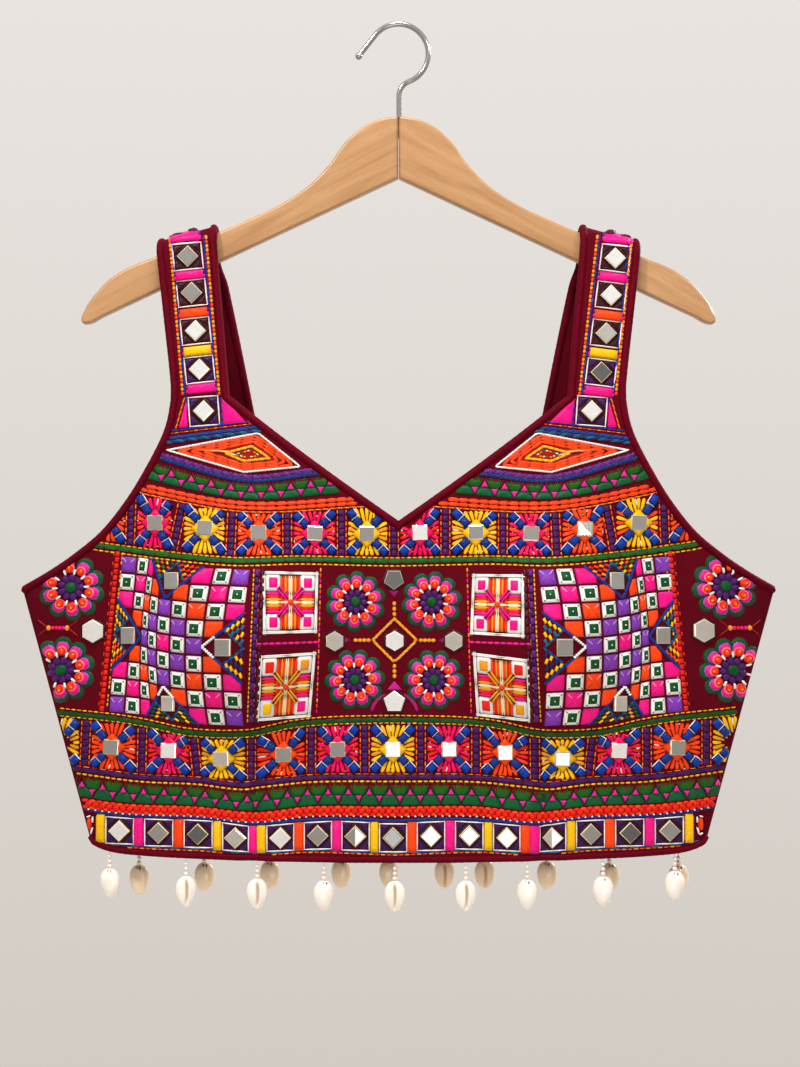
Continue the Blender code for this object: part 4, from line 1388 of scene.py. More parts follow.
def blocks(work, path, colours, width=4.0, pitch=5.0, thick=0.0009, gap=0.06, lift=0.0):
    """A row of small satin blocks, their threads across the row."""
    for n, (a, b) in enumerate(spaced(path, pitch)):
        side = beside(a, b, width / 2)
        a, b = mix(a, b, gap), mix(b, a, gap)
        lean = math.degrees(math.atan2(side[1], side[0]))
        corners = np.array([a - side, b - side, b + side, a + side])
        work.pad(halved(corners), colours[n % len(colours)], thick, lift, lean)


def beads(work, path, colours, width, pitch, thick, lift=0.0):
    """A row of round knots."""
    for n, (a, b) in enumerate(spaced(path, pitch)):
        lean = math.degrees(math.atan2(*(b - a)[::-1]))
        outline = oval((a + b) / 2, pitch * 0.54, width / 2, lean, 8)
        work.pad(outline, colours[n % len(colours)], thick, lift, lean + 90)


def around(corners):
    """A closed path through corners."""
    corners = np.asarray(corners, float)
    return np.vstack([corners, corners[:1]])


# ---------------------------------------------------------------- needlework: motifs

SATIN = 0.0013              # height of a well padded patch
ROW = 0.0009                # height of a stitched row
RISE = 0.00035              # how far a patch on another is lifted
SILVER = np.array([0.95, 0.95, 0.95])
DULL = np.array([0.37, 0.36, 0.34])
DUSKY = np.array([0.16, 0.16, 0.155])
SMOKY = np.array([0.60, 0.57, 0.52])
MIRROR_THICK = 0.0007
CORNERS = ((-1, -1), (1, -1), (1, 1), (-1, 1))


def set_mirror(work, glass, outline, silver, ring=2.6, rim=1.1, lift=0.0):
    """A mirror with its pale rim, in a dark padded ring where that has a width."""
    outline = np.asarray(outline, float)
    centre = outline.mean(0)
    reach = np.hypot(*(outline[0] - centre))
    if ring:
        work.plate(mix(centre, outline, 1 + ring / reach), DARK_MAROON, SATIN * 0.8)
    work.plate(mix(centre, outline, 1 + rim / reach), CREAM * 0.85, SATIN, lift)
    glass.fold = work.fold
    glass.plate(outline, silver, MIRROR_THICK, lift + SATIN - MIRROR_THICK / 3)


# the star cell, in steps of the chart
STAR_REACH = 14.5           # from its middle to the points of its diamond
STAR_MIRROR = 7.0
BAR_START = 10.6
BAR_WIDTH = 7.9
SPOKE_WIDTH = 3.9
SPOKE_FAN = (-0.44, -0.22, 0.0, 0.22, 0.44)
FINE_THREADS = (GOLD, CREAM, ORANGE, GOLD, RED)


def star_cell(work, glass, centre, left, right, top, foot, main, sides, silver):
    """A mirror in a diamond with satin spokes and four blue bars, between two lines and two columns."""
    centre = np.array(centre, float)
    x, y = centre
    for dx, dy, far in ((0, -1, y - top(x)), (0, 1, foot(x) - y), (-1, 0, x - left), (1, 0, right - x)):
        way, side = np.array([dx, dy]), np.array([-dy, dx])
        colours = (main,) if dx == 0 else sides
        for colour in FINE_THREADS:                 # fine crossed threads between the spokes
            out = centre + way * (far - random.uniform(2, 8)) + side * random.uniform(-9, 9)
            wide = side * 1.6 + way * random.uniform(-1.2, 1.2)
            work.stitch(out - wide, out + wide, 0.9, colour, ROW * 0.55)
        for n, fan in enumerate(SPOKE_FAN):
            inner = centre + way * (STAR_REACH * (0.92 - abs(fan) * 0.95)) + side * fan * STAR_REACH * 0.72
            tip = centre + way * (far - 1.2 - abs(fan) * 1.5) + side * fan * 26.0
            work.strand(inner, tip, SPOKE_WIDTH, colours[n % len(colours)], SATIN * 0.85, 0, petal_form)
        if random.random() < 0.45:                  # now and then a white thread between two spokes
            aside = side * random.choice((-3.0, 3.0))
            start = centre + way * STAR_REACH * 1.2 + aside * 0.6
            work.stitch(start, centre + way * (far - 2.0) + aside, 1.3, WHITE, SATIN * 0.9, 0.0002)
    for corner_x, corner_y in ((left, top), (right, top), (left, foot), (right, foot)):
        inward = corner_x + math.copysign(2.5, x - corner_x)
        corner = np.array([inward, float(corner_y(inward))])
        corner[1] += math.copysign(3.0, y - corner[1])
        length = np.hypot(*(corner - centre))
        run = (corner - centre) / length
        middle = (BAR_START + length) / 2
        lean = math.degrees(math.atan2(run[1], run[0]))
        bars = ((BAR_START, middle - 0.7, mix(BLUE, DEEP_BLUE, 0.5)), (middle + 0.7, length, BLUE))
        for start, end, colour in bars:
            place, half = centre + run * (start + end) / 2, (end - start) / 2
            # a dark pad a little wider than each bar: painted shadow round the bar
            work.patch(box(place, half + 0.8, BAR_WIDTH / 2 + 1.0, lean), 0.09, DARK_MAROON * 0.35, SATIN)
            satin = box(place, half, BAR_WIDTH / 2, lean)
            work.patch(satin, 0.09, colour, SATIN * 1.9, 0.0004, lean + 90, 0.3)
        side = np.array([-run[1], run[0]]) * (BAR_WIDTH / 2 + 0.5)
        upper = centre + (side if side[1] < 0 else -side)
        work.stitch(upper + run * (middle - 1), upper + run * (length - 0.5), 1.1, WHITE, ROW, 0.0004)
        between_bars = centre + run * middle
        work.stitch(between_bars - side * 0.9, between_bars + side * 0.9, 1.1, WHITE, ROW, 0.0006)
    work.patch(regular(4, STAR_REACH, centre), 0.05, main, SATIN * 1.1, 0.0006, random.choice((0, 90)))
    set_mirror(work, glass, box(centre, STAR_MIRROR, degrees=random.uniform(-4, 4)), silver, 0, 0.9, 0.0007)


def column(work, x_top, x_foot, top, foot, width=6.0):
    """A purple ladder between two star cells, with a gold thread on each side."""
    start = np.array([x_top, float(top(x_top)) + 1.2])
    end = np.array([x_foot, float(foot(x_foot)) - 1.2])
    blocks(work, [start, end], (PURPLE * 0.50, PURPLE * 0.36), width, 6.4, ROW, 0.02)
    side = beside(start, end, width / 2 + 1.4)
    for offset in (-side, side):
        running(work, [start + offset, end + offset], (GOLD, ORANGE), 1.1, 6.0, ROW * 0.6)


def star_band(work, glass, cells, columns, top, foot):
    """A row of star cells between its columns, each (x, lean)."""
    for x, lean in columns:
        column(work, x + lean, x - lean, top, foot)
    for (left, _), (right, _), (x, y, main, sides, silver) in zip(columns, columns[1:], cells):
        star_cell(work, glass, (x, y), left + 5.0, right - 5.0, top, foot, main, sides, silver)


def sawtooth(work, top, foot, up_xs, down_xs, tooth_half, tooth_tall):
    """Green mounds and bushes that interlock, with small pink teeth at their tips."""
    def point(x, share):
        return x, float(mix(top(x), foot(x), share))

    for xs, sign in ((up_xs, 1), (down_xs, -1)):
        base, crown = (0.98, 0.47) if sign > 0 else (0.03, 0.53)
        colour = GREEN * 0.8 if sign > 0 else LEAF * 0.62
        for n, x in enumerate(xs):
            pitch = abs(xs[n - 1] - x) if n else abs(xs[1] - x)
            wide, waist, narrow = pitch * 0.50, pitch * 0.455, pitch * 0.24
            behind = [point(x + side * wide, share)
                      for side, share in ((-1, 0.10), (1, 0.10), (1, 0.93), (-1, 0.93))]
            work.patch(behind, 0.02, DARK_GREEN * 0.5, ROW * 0.3, 0, 90, 0.9)
            half = ((wide, base), (waist, mix(base, crown, 0.35)), (narrow, crown))
            mound = [point(x - reach, share) for reach, share in half]
            mound += [point(x + reach, share) for reach, share in half[::-1]]
            work.patch(mound, 0.16, colour, SATIN, 0, 90, 0.30)
            for k in range(8 if sign < 0 else 0):   # loose threads that bring the ground through
                at = x + (k - 3.5) * wide * 0.25
                end = mix(at, x, 0.2), point(at, mix(base, crown, (0.34, 0.52, 0.22)[k % 3]))[1]
                work.stitch(point(at, base - 0.10), end, 1.5, (MAROON * 1.2, RED * 0.16, LEAF * 0.45)[k % 3],
                            ROW, SATIN * 0.45)
            tip_y = point(x, crown)[1] + sign * 0.3
            tooth = [(x - tooth_half, tip_y), (x, tip_y - sign * tooth_tall), (x + tooth_half, tip_y)]
            work.patch(tooth, 0.06, MAGENTA * 1.25, SATIN * 0.9, 0.0007, 90, 0.30)


# the flower of ten lobes, in shares of its radius
LOBES = 10
LOBE_LAYERS = (
    # distance of the lobe's middle, half widths along and across the spoke, dye, lift in RISE
    (0.722, 0.278, 0.264, GREEN * 0.62, 0.0),
    (0.680, 0.236, 0.222, DEEP_BLUE * 0.7, 0.7),
    (0.664, 0.220, 0.205, LILAC * 0.6, 1.1),
    (0.643, 0.203, 0.187, MAGENTA * 1.15, 2.2),
    (0.628, 0.180, 0.164, PINK, 2.9),
    (0.582, 0.168, 0.150, mix(PINK, ORANGE, 0.7) + 0.16, 3.6),
    (0.568, 0.154, 0.132, RED * 1.05, 4.0),
    (0.554, 0.100, 0.078, ORANGE * 1.05, 4.6),
    # the last row, a small yellow spot on the red-orange lobe, is a painted highlight
    (0.590, 0.034, 0.026, YELLOW, 5.3),
)
BALLS = 9


def flower(work, centre, radius, turn):
    """Ten lobes of satin rings round a ring of purple balls and a green dome."""
    def place(lean, share):
        return np.array(centre) + toward(lean) * share * radius

    for lobe in range(LOBES):
        lean = turn + lobe * 360 / LOBES - 90
        for distance, along, across, colour, lift in LOBE_LAYERS:
            outline = oval(place(lean, distance), along * radius, across * radius, lean)
            work.pad(outline, colour, SATIN * 0.8, RISE * lift, lean, 0.74 if lift else 0.26)
        lean += 180 / LOBES
        work.strand(place(lean, 0.38), place(lean, 0.55), 2.4, WHITE, SATIN, 0.0010)
    work.pad(oval(centre, radius * 0.38), DEEP_PURPLE, SATIN, 0, 0)
    for ball in range(BALLS):
        lean = turn + ball * 360 / BALLS
        outline = oval(place(lean, 0.285), radius * 0.122, radius * 0.100, lean, 10)
        work.pad(outline, PURPLE * 0.62, SATIN * 0.9, 0.0007, lean, 0.30)
    work.pad(oval(centre, radius * 0.175), GREEN * 0.62, SATIN * 1.3, 0.0010, 30, 0.35)


CROSS_STRIPES = (ORANGE, RED, GOLD, ORANGE, CREAM, CREAM, ORANGE, GOLD, RED, ORANGE)
CROSS_ARMS = (PINK, RED, GOLD, CREAM, GOLD, RED, PINK)
SMALL_HALF = 0.135          # half the side of a small square, as a share of the whole


def cross_square(work, corners, corner_dyes, loop_dye):
    """A white-framed square with four small squares, a striped cross and four double loops."""
    top_left, top_right, foot_right, foot_left = np.asarray(corners, float)

    def at(u, v):
        return mix(mix(top_left, top_right, u), mix(foot_left, foot_right, u), v)

    ring = [top_left, top_right, foot_right, foot_left]
    for here, ahead in zip(ring, next_to(ring)):
        for away in (0.8, 2.2):                     # two fine white rows side by side
            inset = beside(here, ahead, away)
            running(work, [here + inset, ahead + inset], (WHITE,), 1.5, 26.0, SATIN * 0.8, -0.02)
    for n, colour in enumerate(CROSS_STRIPES):
        u = mix(0.325, 0.675, (n + 0.5) / len(CROSS_STRIPES))
        for start, end in ((0.07, 0.36), (0.36, 0.64), (0.64, 0.93)):
            work.stitch(at(u, start), at(u, end), 2.3, colour, SATIN * 1.05, 0.0002)
    for n, colour in enumerate(CROSS_ARMS):
        v = mix(0.33, 0.67, (n + 0.5) / len(CROSS_ARMS))
        for start, end in ((0.07, 0.325), (0.675, 0.93)):
            work.stitch(at(start, v), at(end, v), 3.3, colour, SATIN * 0.95, 0.0002)
    work.stitch(at(0.30, 0.5), at(0.70, 0.5), 2.6, CREAM, SATIN, 0.0009)
    for (across, down), colour in zip(CORNERS, corner_dyes):
        u, v = 0.5 + across * 0.31, 0.5 + down * 0.315
        small = [at(u + c * SMALL_HALF, v + d * SMALL_HALF) for c, d in CORNERS]
        work.patch(small, 0.10, WHITE * 0.92, SATIN * 0.95, 0.0002, 90, 0.45)
        work.patch(drawn_in(small, 2.9), 0.08, colour, SATIN * 0.9, 0.0008, 90, 0.30)
    for du, dv in CORNERS:
        start, end = at(0.5 + du * 0.05, 0.5 + dv * 0.05), at(0.5 + du * 0.225, 0.5 + dv * 0.235)
        side = beside(start, end, 1.7)
        work.stitch(start, end, 5.8, DARK_MAROON, ROW, 0.0010)
        for offset in (-side, side):
            work.strand(start + offset * 0.7, end + offset, 2.3, loop_dye, SATIN, 0.0013)
    work.patch(box(at(0.5, 0.5), 2.6, degrees=45), 0.1, ORANGE * 0.8, ROW, 0.0016)


# the check panel: lines of the grid at its top, middle and foot, and the height of each column
CHECK = 9
CHECK_LINES = (
    (122.0, 115.5, 109.0), (138.5, 131.0, 125.0), (150.0, 142.0, 141.0), (156.5, 148.5, 153.0),
    (164.0, 157.3, 161.5), (176.0, 170.5, 173.0), (193.0, 186.0, 190.5), (215.5, 203.5, 209.0),
    (233.5, 223.0, 227.0), (251.5, 243.0, 245.0))
CHECK_TOPS = (555.3, 556.5, 558.0, 560.0, 562.5, 565.0, 567.0, 568.0, 568.5, 569.5)
CHECK_PITCH = 17.45
CHECK_SHIFT = 2.2           # how far the right panel's outer side is set in
CHECK_DYES = {0: PINK, 2: VIOLET, 4: ORANGE, 6: PINK, 8: VIOLET}
NOTCH_CLEAR = 2.5           # how far from the diagonals of the panel the notches' sides lie
SLIVER = 0.45               # twice the area below which a cut square is left out


def check_point(c, r, sign):
    """Chart point of the check's grid, column line c and row line r."""
    low = int(min(math.floor(c), CHECK - 1))
    top, middle, foot = mix(np.array(CHECK_LINES[low]), np.array(CHECK_LINES[low + 1]), c - low)
    t = r / CHECK
    x = top * (1 - t) * (1 - 2 * t) + 4 * middle * t * (1 - t) + foot * t * (2 * t - 1)
    if sign > 0:
        x = 2 * (MIDDLE + CHECK_SHIFT * max(0.0, 1 - c / 4)) - x
    return np.array([x, mix(CHECK_TOPS[low], CHECK_TOPS[low + 1], c - low) + CHECK_PITCH * r])


def check_cell(work, column_no, row_no, sign):
    """One square of the check, cut where a notch takes part of it."""
    u, v = column_no - 4, row_no - 4
    if (u == 0 and abs(v) > 2) or (v == 0 and abs(u) > 2):
        return
    whole_cell = np.array([(0, 0), (1, 0), (1, 1), (0, 1)]) + [float(column_no), row_no]
    cell = whole_cell
    if u and v:
        along, up = math.copysign(1, u), math.copysign(1, v)
        centred = clipped(whole_cell - CHECK / 2, -along, up, NOTCH_CLEAR)
        if len(centred) > 2:
            centred = clipped(centred, along, -up, NOTCH_CLEAR)
        if len(centred) < 3 or abs(twice_area(centred)) < SLIVER:
            return
        cell = centred + CHECK / 2
    whole = len(cell) == 4 and (cell[0] == whole_cell[0]).all() and abs(abs(u) - abs(v)) < NOTCH_CLEAR

    def inset(across, down):
        corners = ((across, down), (1 - across, down), (1 - across, 1 - down), (across, 1 - down))
        return np.array([check_point(column_no + c, row_no + r, sign) for c, r in corners])

    corners = inset(0.05, 0.045) if whole else drawn_in([check_point(c, r, sign) for c, r in cell], 0.6)
    if (column_no + row_no) % 2:
        work.patch(corners, 0.05, WHITE, SATIN * 0.9, 0, 90, 0.42)
        if whole:
            inner = inset(0.23, 0.21)
            work.patch(inner, 0.04, GREEN * 0.62, SATIN * 0.8, 0.0006, 90, 0.15)
            for corner, tick in zip(corners, inner):
                work.stitch(mix(corner, tick, 0.5), tick, 0.9, NAVY * 0.5, ROW * 0.5, SATIN * 0.75)
            work.pad(oval(corners.mean(0), 0.8, sides=8), WHITE, ROW * 0.7, 0.0014)
    else:
        colour = CHECK_DYES[min(abs(u) + abs(v), 8)]
        work.patch(corners, 0.05, colour, SATIN, 0, random.choice((0, 90)), 0.30)
        # painted highlight on the two upper folds, painted shade on the two lower ones
        fold_highlights_and_shade = (mix(colour, WHITE, 0.30),) * 2 + (colour * 0.7,) * 2
        for corner, shade in zip(corners if whole else (), fold_highlights_and_shade):     # folds that run to the corners, with painted highlight on the upper two and painted shade on the lower two
            start, end = (mix(corner, corners.mean(0), share) for share in (0.16, 0.74))
            work.strand(start, end, 1.5, shade, ROW * 0.4, SATIN * 0.80)


def mosaic(work, a, b, c, colours, size=4):
    """A triangle filled with small diamonds."""
    a, b, c = (np.asarray(p, float) for p in (a, b, c))
    step, rise = (b - a) / size, (c - a) / size
    for i in range(size):
        for j in range(size - i):
            centre = a + step * (i + 0.42) + rise * (j + 0.42)
            corners = np.array([centre - step / 2, centre - rise / 2, centre + step / 2, centre + rise / 2])
            work.pad(halved(corners), colours[(i + 2 * j) % len(colours)], ROW, 0.0001, 90, 0.4)


def notch(work, glass, points, silver, mosaics, tip_dye, mirror_half):
    """A triangle let into the check's side: its blue cord, a mirror in a diamond, and two mosaics."""
    first, tip, last = (np.asarray(p, float) for p in points)
    middle = (first + last) / 2
    near, far = (first + tip) / 2, (tip + last) / 2
    work.patch([first, tip, last], 0.03, DARK_MAROON * 1.3, ROW * 0.25, 0, 90, 0.9)
    for end, half, colours in ((first, near, mosaics[0]), (last, far, mosaics[1])):
        mosaic(work, mix(end, middle, 0.10), mix(middle, end, 0.10), mix(half, end, 0.06), colours)
    for path in ((first, tip), (tip, last)):
        twisted(work, path, (DEEP_BLUE * 1.3, BLUE), 3.0, 3.4, SATIN * 1.05)
    for path in ((near, middle), (middle, far)):
        twisted(work, path, (TEAL * 0.8, DEEP_BLUE * 1.2), 2.5, 3.4, SATIN * 0.95)
    if tip_dye is not None:
        for path in ((mix(tip, first, 0.30), tip), (tip, mix(tip, last, 0.30))):
            beads(work, path, (tip_dye,), 3.0, 2.8, SATIN, 0.0006)
    set_mirror(work, glass, box((middle + tip) / 2, *mirror_half), silver, 0, 0.8)


NOTCHES = (
    # column and row of its first corner, its tip and its last corner, silver, mosaics, dye of the tip,
    # half sizes
    ((2.5, 0), (4.5, 2), (6.5, 0), DULL, ((LEAF, ORANGE, YELLOW), (RED, ORANGE, GOLD)), None, (6.4, 7.6)),
    ((0, 2.5), (2, 4.5), (0, 6.5), DULL, ((YELLOW, TEAL), (ORANGE, YELLOW)), None, (6.3, 7.6)),
    ((9, 2.5), (7, 4.5), (9, 6.5), DULL, ((YELLOW, TEAL), (YELLOW, DEEP_BLUE)), WHITE, (7.2, 7.8)),
    ((2.5, 9), (4.5, 7), (6.5, 9), SMOKY, ((DARK_GREEN, GOLD), (DARK_GREEN, YELLOW)), WHITE, (6.0, 7.0)),
)


def check_panel(work, glass, sign):
    """A check of nine by nine with a notch in each side."""
    for row_no in range(CHECK):
        for column_no in range(CHECK):
            check_cell(work, column_no, row_no, sign)
    for row_no in range(1, CHECK):                  # knots where the squares meet
        for column_no in range(1, CHECK):
            if abs(abs(column_no - 4.5) - abs(row_no - 4.5)) < 2.4:
                work.pad(oval(check_point(column_no, row_no, sign), 1.0, sides=8), NAVY, ROW, 0.0002)
    for *corners, silver, mosaics, tip_dye, mirror_half in NOTCHES:
        points = [check_point(c, r, sign) for c, r in corners]
        notch(work, glass, points, silver, mosaics, tip_dye, mirror_half)


def mirror_cell(work, glass, corners, silver, corner_dye=DEEP_PURPLE):
    """A white-framed square with dark corners and a mirror in a padded diamond."""
    corners = np.asarray(corners, float)
    centre = corners.mean(0)
    work.patch(corners, 0.03, DARK_MAROON, ROW * 0.35, 0, 90, 0.9)
    mids = (corners + next_to(corners)) / 2
    for corner, before, after in zip(corners, np.roll(mids, 1, 0), mids):
        corner, before, after = (mix(p, centre, 0.08) for p in (corner, before, after))
        before, after = mix(corner, before, 0.80), mix(corner, after, 0.80)
        work.patch([before, corner, after], 0.06, corner_dye, SATIN * 0.6, 0, 45, 0.5)
    for here, ahead in zip(corners, next_to(corners)):
        running(work, [here, ahead], (WHITE,), 1.4, 22.0, ROW * 1.1, -0.02)
    across = np.hypot(*(mids[1] - mids[3])) / 2
    up = np.hypot(*(mids[0] - mids[2])) / 2
    for scale, colour, lift in ((1.0, DARK_MAROON * 0.7, 0.0001), (0.91, DARK_MAROON * 1.3, 0.0005)):
        diamond = centre + np.array([(0, -up), (across, 0), (0, up), (-across, 0)]) * scale
        work.patch(diamond, 0.05, colour, SATIN * 0.9, lift, 45, 0.35)
    set_mirror(work, glass, regular(4, MIRROR_REACH, centre), silver, 0, 1.0, 0.0005)


def bar(work, centre, half, tall, colour, lean_row, degrees=0.0):
    """A plump satin bar, its threads over its short way."""
    work.patch(box(centre, half, tall, degrees), 0.06, colour, SATIN * 1.7, 0.0001, lean_row + degrees, 0.45)


# ---------------------------------------------------------------- needlework: the front's layout on the chart

MIDDLE = 394.0              # the bands' middle; the yoke's is a little to the right
YOKE_MIDDLE = 397.75

YOKE_BRAID = line_of(((130, 483.4), (147.6, 488.6), (244.5, 506.0), (355, 501.2), (397.75, 498.4)),
                     YOKE_MIDDLE)
UPPER_GREEN = line_of(((70, 539.0), (99.5, 545.4), (228, 561.0), (300, 559.6), (394, 561.2)), MIDDLE)
LOWER_GOLD = line_of(((55, 706.5), (64.6, 708.0), (115, 713.5), (147, 718.7), (188.6, 727.5), (248, 728.6),
                      (289.6, 720.0), (324, 716.6), (394, 715.0)), MIDDLE)
STAR_FOOT = line_of(((66, 766.0), (77, 768.0), (140, 776.6), (198, 779.4), (241, 784.8), (258, 782.8),
                     (312.5, 777.2), (394, 776.6)), MIDDLE)
BRAID_MIDDLE = line_of(((72, 800.0), (84, 802.6), (129, 808.6), (197.7, 811.2), (255, 817.0), (312.5, 811.0),
                        (394, 811.4)), MIDDLE)
HEM_TOP = line_of(((74, 805.4), (86, 808.2), (104, 812.2), (120, 814.2), (152, 815.8), (200, 817.2),
                   (221, 819.0), (240, 821.8), (255, 823.4), (290, 820.6), (335.5, 818.2),
                   (394, 820.6)), MIDDLE)
HEM_FOOT = line_of(((80, 837.0), (95, 845.0), (152, 850.0), (200, 852.0), (255, 856.4), (310, 853.6),
                    (394, 856.4)), MIDDLE)

# main dye of a star and dyes of its sides
ORANGE_STAR = (ORANGE, (ORANGE,))
FLAME_STAR = (ORANGE, (ORANGE, RED))
CRIMSON_STAR = (CRIMSON, (CRIMSON, RED, RED))
ROSE_STAR = (CRIMSON, (CRIMSON, ORANGE))
YELLOW_STAR = (YELLOW, (YELLOW, GOLD))
SUN_STAR = (YELLOW, (ORANGE, YELLOW))
UPPER_CELLS = (
    # x, y, dyes, silver
    (109, 519, *ORANGE_STAR, DULL), (156, 523, *ROSE_STAR, DULL), (206, 529, *YELLOW_STAR, DULL),
    (259, 534, *ORANGE_STAR, DULL), (315, 534, *ROSE_STAR, DULL), (367, 534, *YELLOW_STAR, DULL),
    (420, 533, *CRIMSON_STAR, SILVER), (476, 533, *YELLOW_STAR, DULL), (531, 535, *ROSE_STAR, DULL),
    (584, 530, *ORANGE_STAR, DULL), (638, 523, *SUN_STAR, DULL), (686, 519, *ORANGE_STAR, DULL))
UPPER_COLUMNS = ((86, 0), (131.5, 1), (178.2, 5), (231.7, 1), (287.3, 0), (341.9, 0), (394, 0), (445.4, 0),
                 (502.9, 0), (555.7, -1), (609.3, -4), (663.7, -1), (709, 0))
LOWER_CELLS = (
    (61, 742, *YELLOW_STAR, DULL), (113, 746.5, *ORANGE_STAR, DULL), (170, 750, *CRIMSON_STAR, SILVER),
    (222, 758, *YELLOW_STAR, SMOKY), (284, 754, *FLAME_STAR, DULL), (338, 749, *CRIMSON_STAR, DULL),
    (393, 749, *YELLOW_STAR, SILVER), (449, 749, *CRIMSON_STAR, DULL), (505, 752, *FLAME_STAR, SMOKY),
    (562, 758, *YELLOW_STAR, DULL), (618, 750, *CRIMSON_STAR, SILVER), (676, 747, *ORANGE_STAR, DULL),
    (733.5, 742, *YELLOW_STAR, DULL))
LOWER_COLUMNS = ((36, 0), (86.4, 1), (142.6, 0.5), (195.9, -2), (251.7, 0), (311.4, 0), (364.9, 0),
                 (420.9, 0), (476, 0), (534.3, 0), (590, 2), (646.3, 0), (705.5, 0), (752, 0))
HEM_CELLS = (
    # x of the mirror, silver
    (119.5, SILVER), (160, DULL), (200.5, DUSKY), (235.6, SMOKY), (281, SILVER), (318, DULL), (356, DULL),
    (393, DUSKY), (431, SMOKY), (469, DULL), (507, SMOKY), (551, SMOKY), (589.5, DULL), (629, DUSKY),
    (668.6, DULL))
HEM_BARS = (
    # x, dye
    (101.8, YELLOW), (139.7, PINK), (179.6, ORANGE), (218.2, YELLOW), (253.5, PINK), (262.4, YELLOW),
    (299.4, ORANGE), (337, PINK), (374.5, YELLOW), (412, ORANGE), (450, PINK), (488, YELLOW), (525, ORANGE),
    (533.6, PINK), (570.5, YELLOW), (609.2, ORANGE), (648.6, PINK), (688, YELLOW))
TOOTH_PITCH = 20.4
YOKE_TOOTH_PITCH = 19.85
BAND_REACH = (55, 735)      # columns of the chart between which the bands' lines run
STAR_FOOT_REACH = (60, 728)
HEM_FOOT_REACH = (92, 698)


def star_bands(work, glass):
    """Both rows of stars and the lines that bound them."""
    upper_top = below(YOKE_BRAID, 6.2)
    star_band(work, glass, UPPER_CELLS, UPPER_COLUMNS, upper_top, below(UPPER_GREEN, -3.6))
    star_band(work, glass, LOWER_CELLS, LOWER_COLUMNS, below(LOWER_GOLD, 8.2), below(STAR_FOOT, -2.8))
    for reach in ((139, 396), (399.5, 657)):
        twisted(work, trace(upper_top, *reach), (GOLD, ORANGE), 1.5, 3.6, ROW)
    for line, shade, gold_above, gold_below in ((UPPER_GREEN, LEAF * 0.66, -3.1, 5.0),
                                                (below(LOWER_GOLD, 4.6), LEAF * 0.40, -4.4, 3.0)):
        running(work, trace(line, *BAND_REACH), (shade, shade * 0.9), 5.2, 13.0, SATIN * 1.1, -0.05)
        running(work, trace(line, *BAND_REACH, gold_above), (GOLD, YELLOW), 1.4, 5.6, ROW)
        running(work, trace(line, *BAND_REACH, gold_below), (YELLOW, GOLD), 1.5, 5.6, ROW)
    for drop, colours, *row in ((0.0, (PURPLE * 0.50, PURPLE * 0.38), 4.8, 13.0, SATIN, -0.05),
                                (-2.9, (ORANGE, GOLD), 1.0, 8.0, ROW),
                                (4.6, (YELLOW, GOLD), 2.0, 5.8, SATIN * 0.8)):
        running(work, trace(STAR_FOOT, *STAR_FOOT_REACH, drop), colours, *row)


def tooth_bands(work):
    """The sawtooth bands of the yoke and above the hem."""
    ups = [83.6 + TOOTH_PITCH * n for n in range(32)]
    downs = [x - TOOTH_PITCH / 2 for x in ups] + [ups[-1] + TOOTH_PITCH / 2]
    sawtooth(work, below(STAR_FOOT, 7.4), below(BRAID_MIDDLE, -5.4), ups, downs, 3.3, 6.2)
    top = line_of(((140, 459.0), (159, 465.5), (244.5, 484.6), (318.5, 478.2), (350, 475.0)), YOKE_MIDDLE)
    foot = line_of(((140, 478.6), (151.4, 481.2), (244.5, 500.2), (338.9, 494.4), (360, 493.0)), YOKE_MIDDLE)
    ups = [152.2 + YOKE_TOOTH_PITCH * n for n in range(10)]
    downs = [x - 9.9 for x in ups] + [ups[-1] + 9.9]
    work.both_sides(YOKE_MIDDLE, lambda: sawtooth(work, top, foot, ups, downs, 3.9, 7.0))


LOZENGE = ((168, 450.5), (258.5, 433.5), (300.6, 467), (244.5, 472.4))
LOZENGE_HEART = ((226, 453.4), (252, 446.5), (270, 458.5), (244.5, 461.4))
YOKE_REACH = (138, 397)


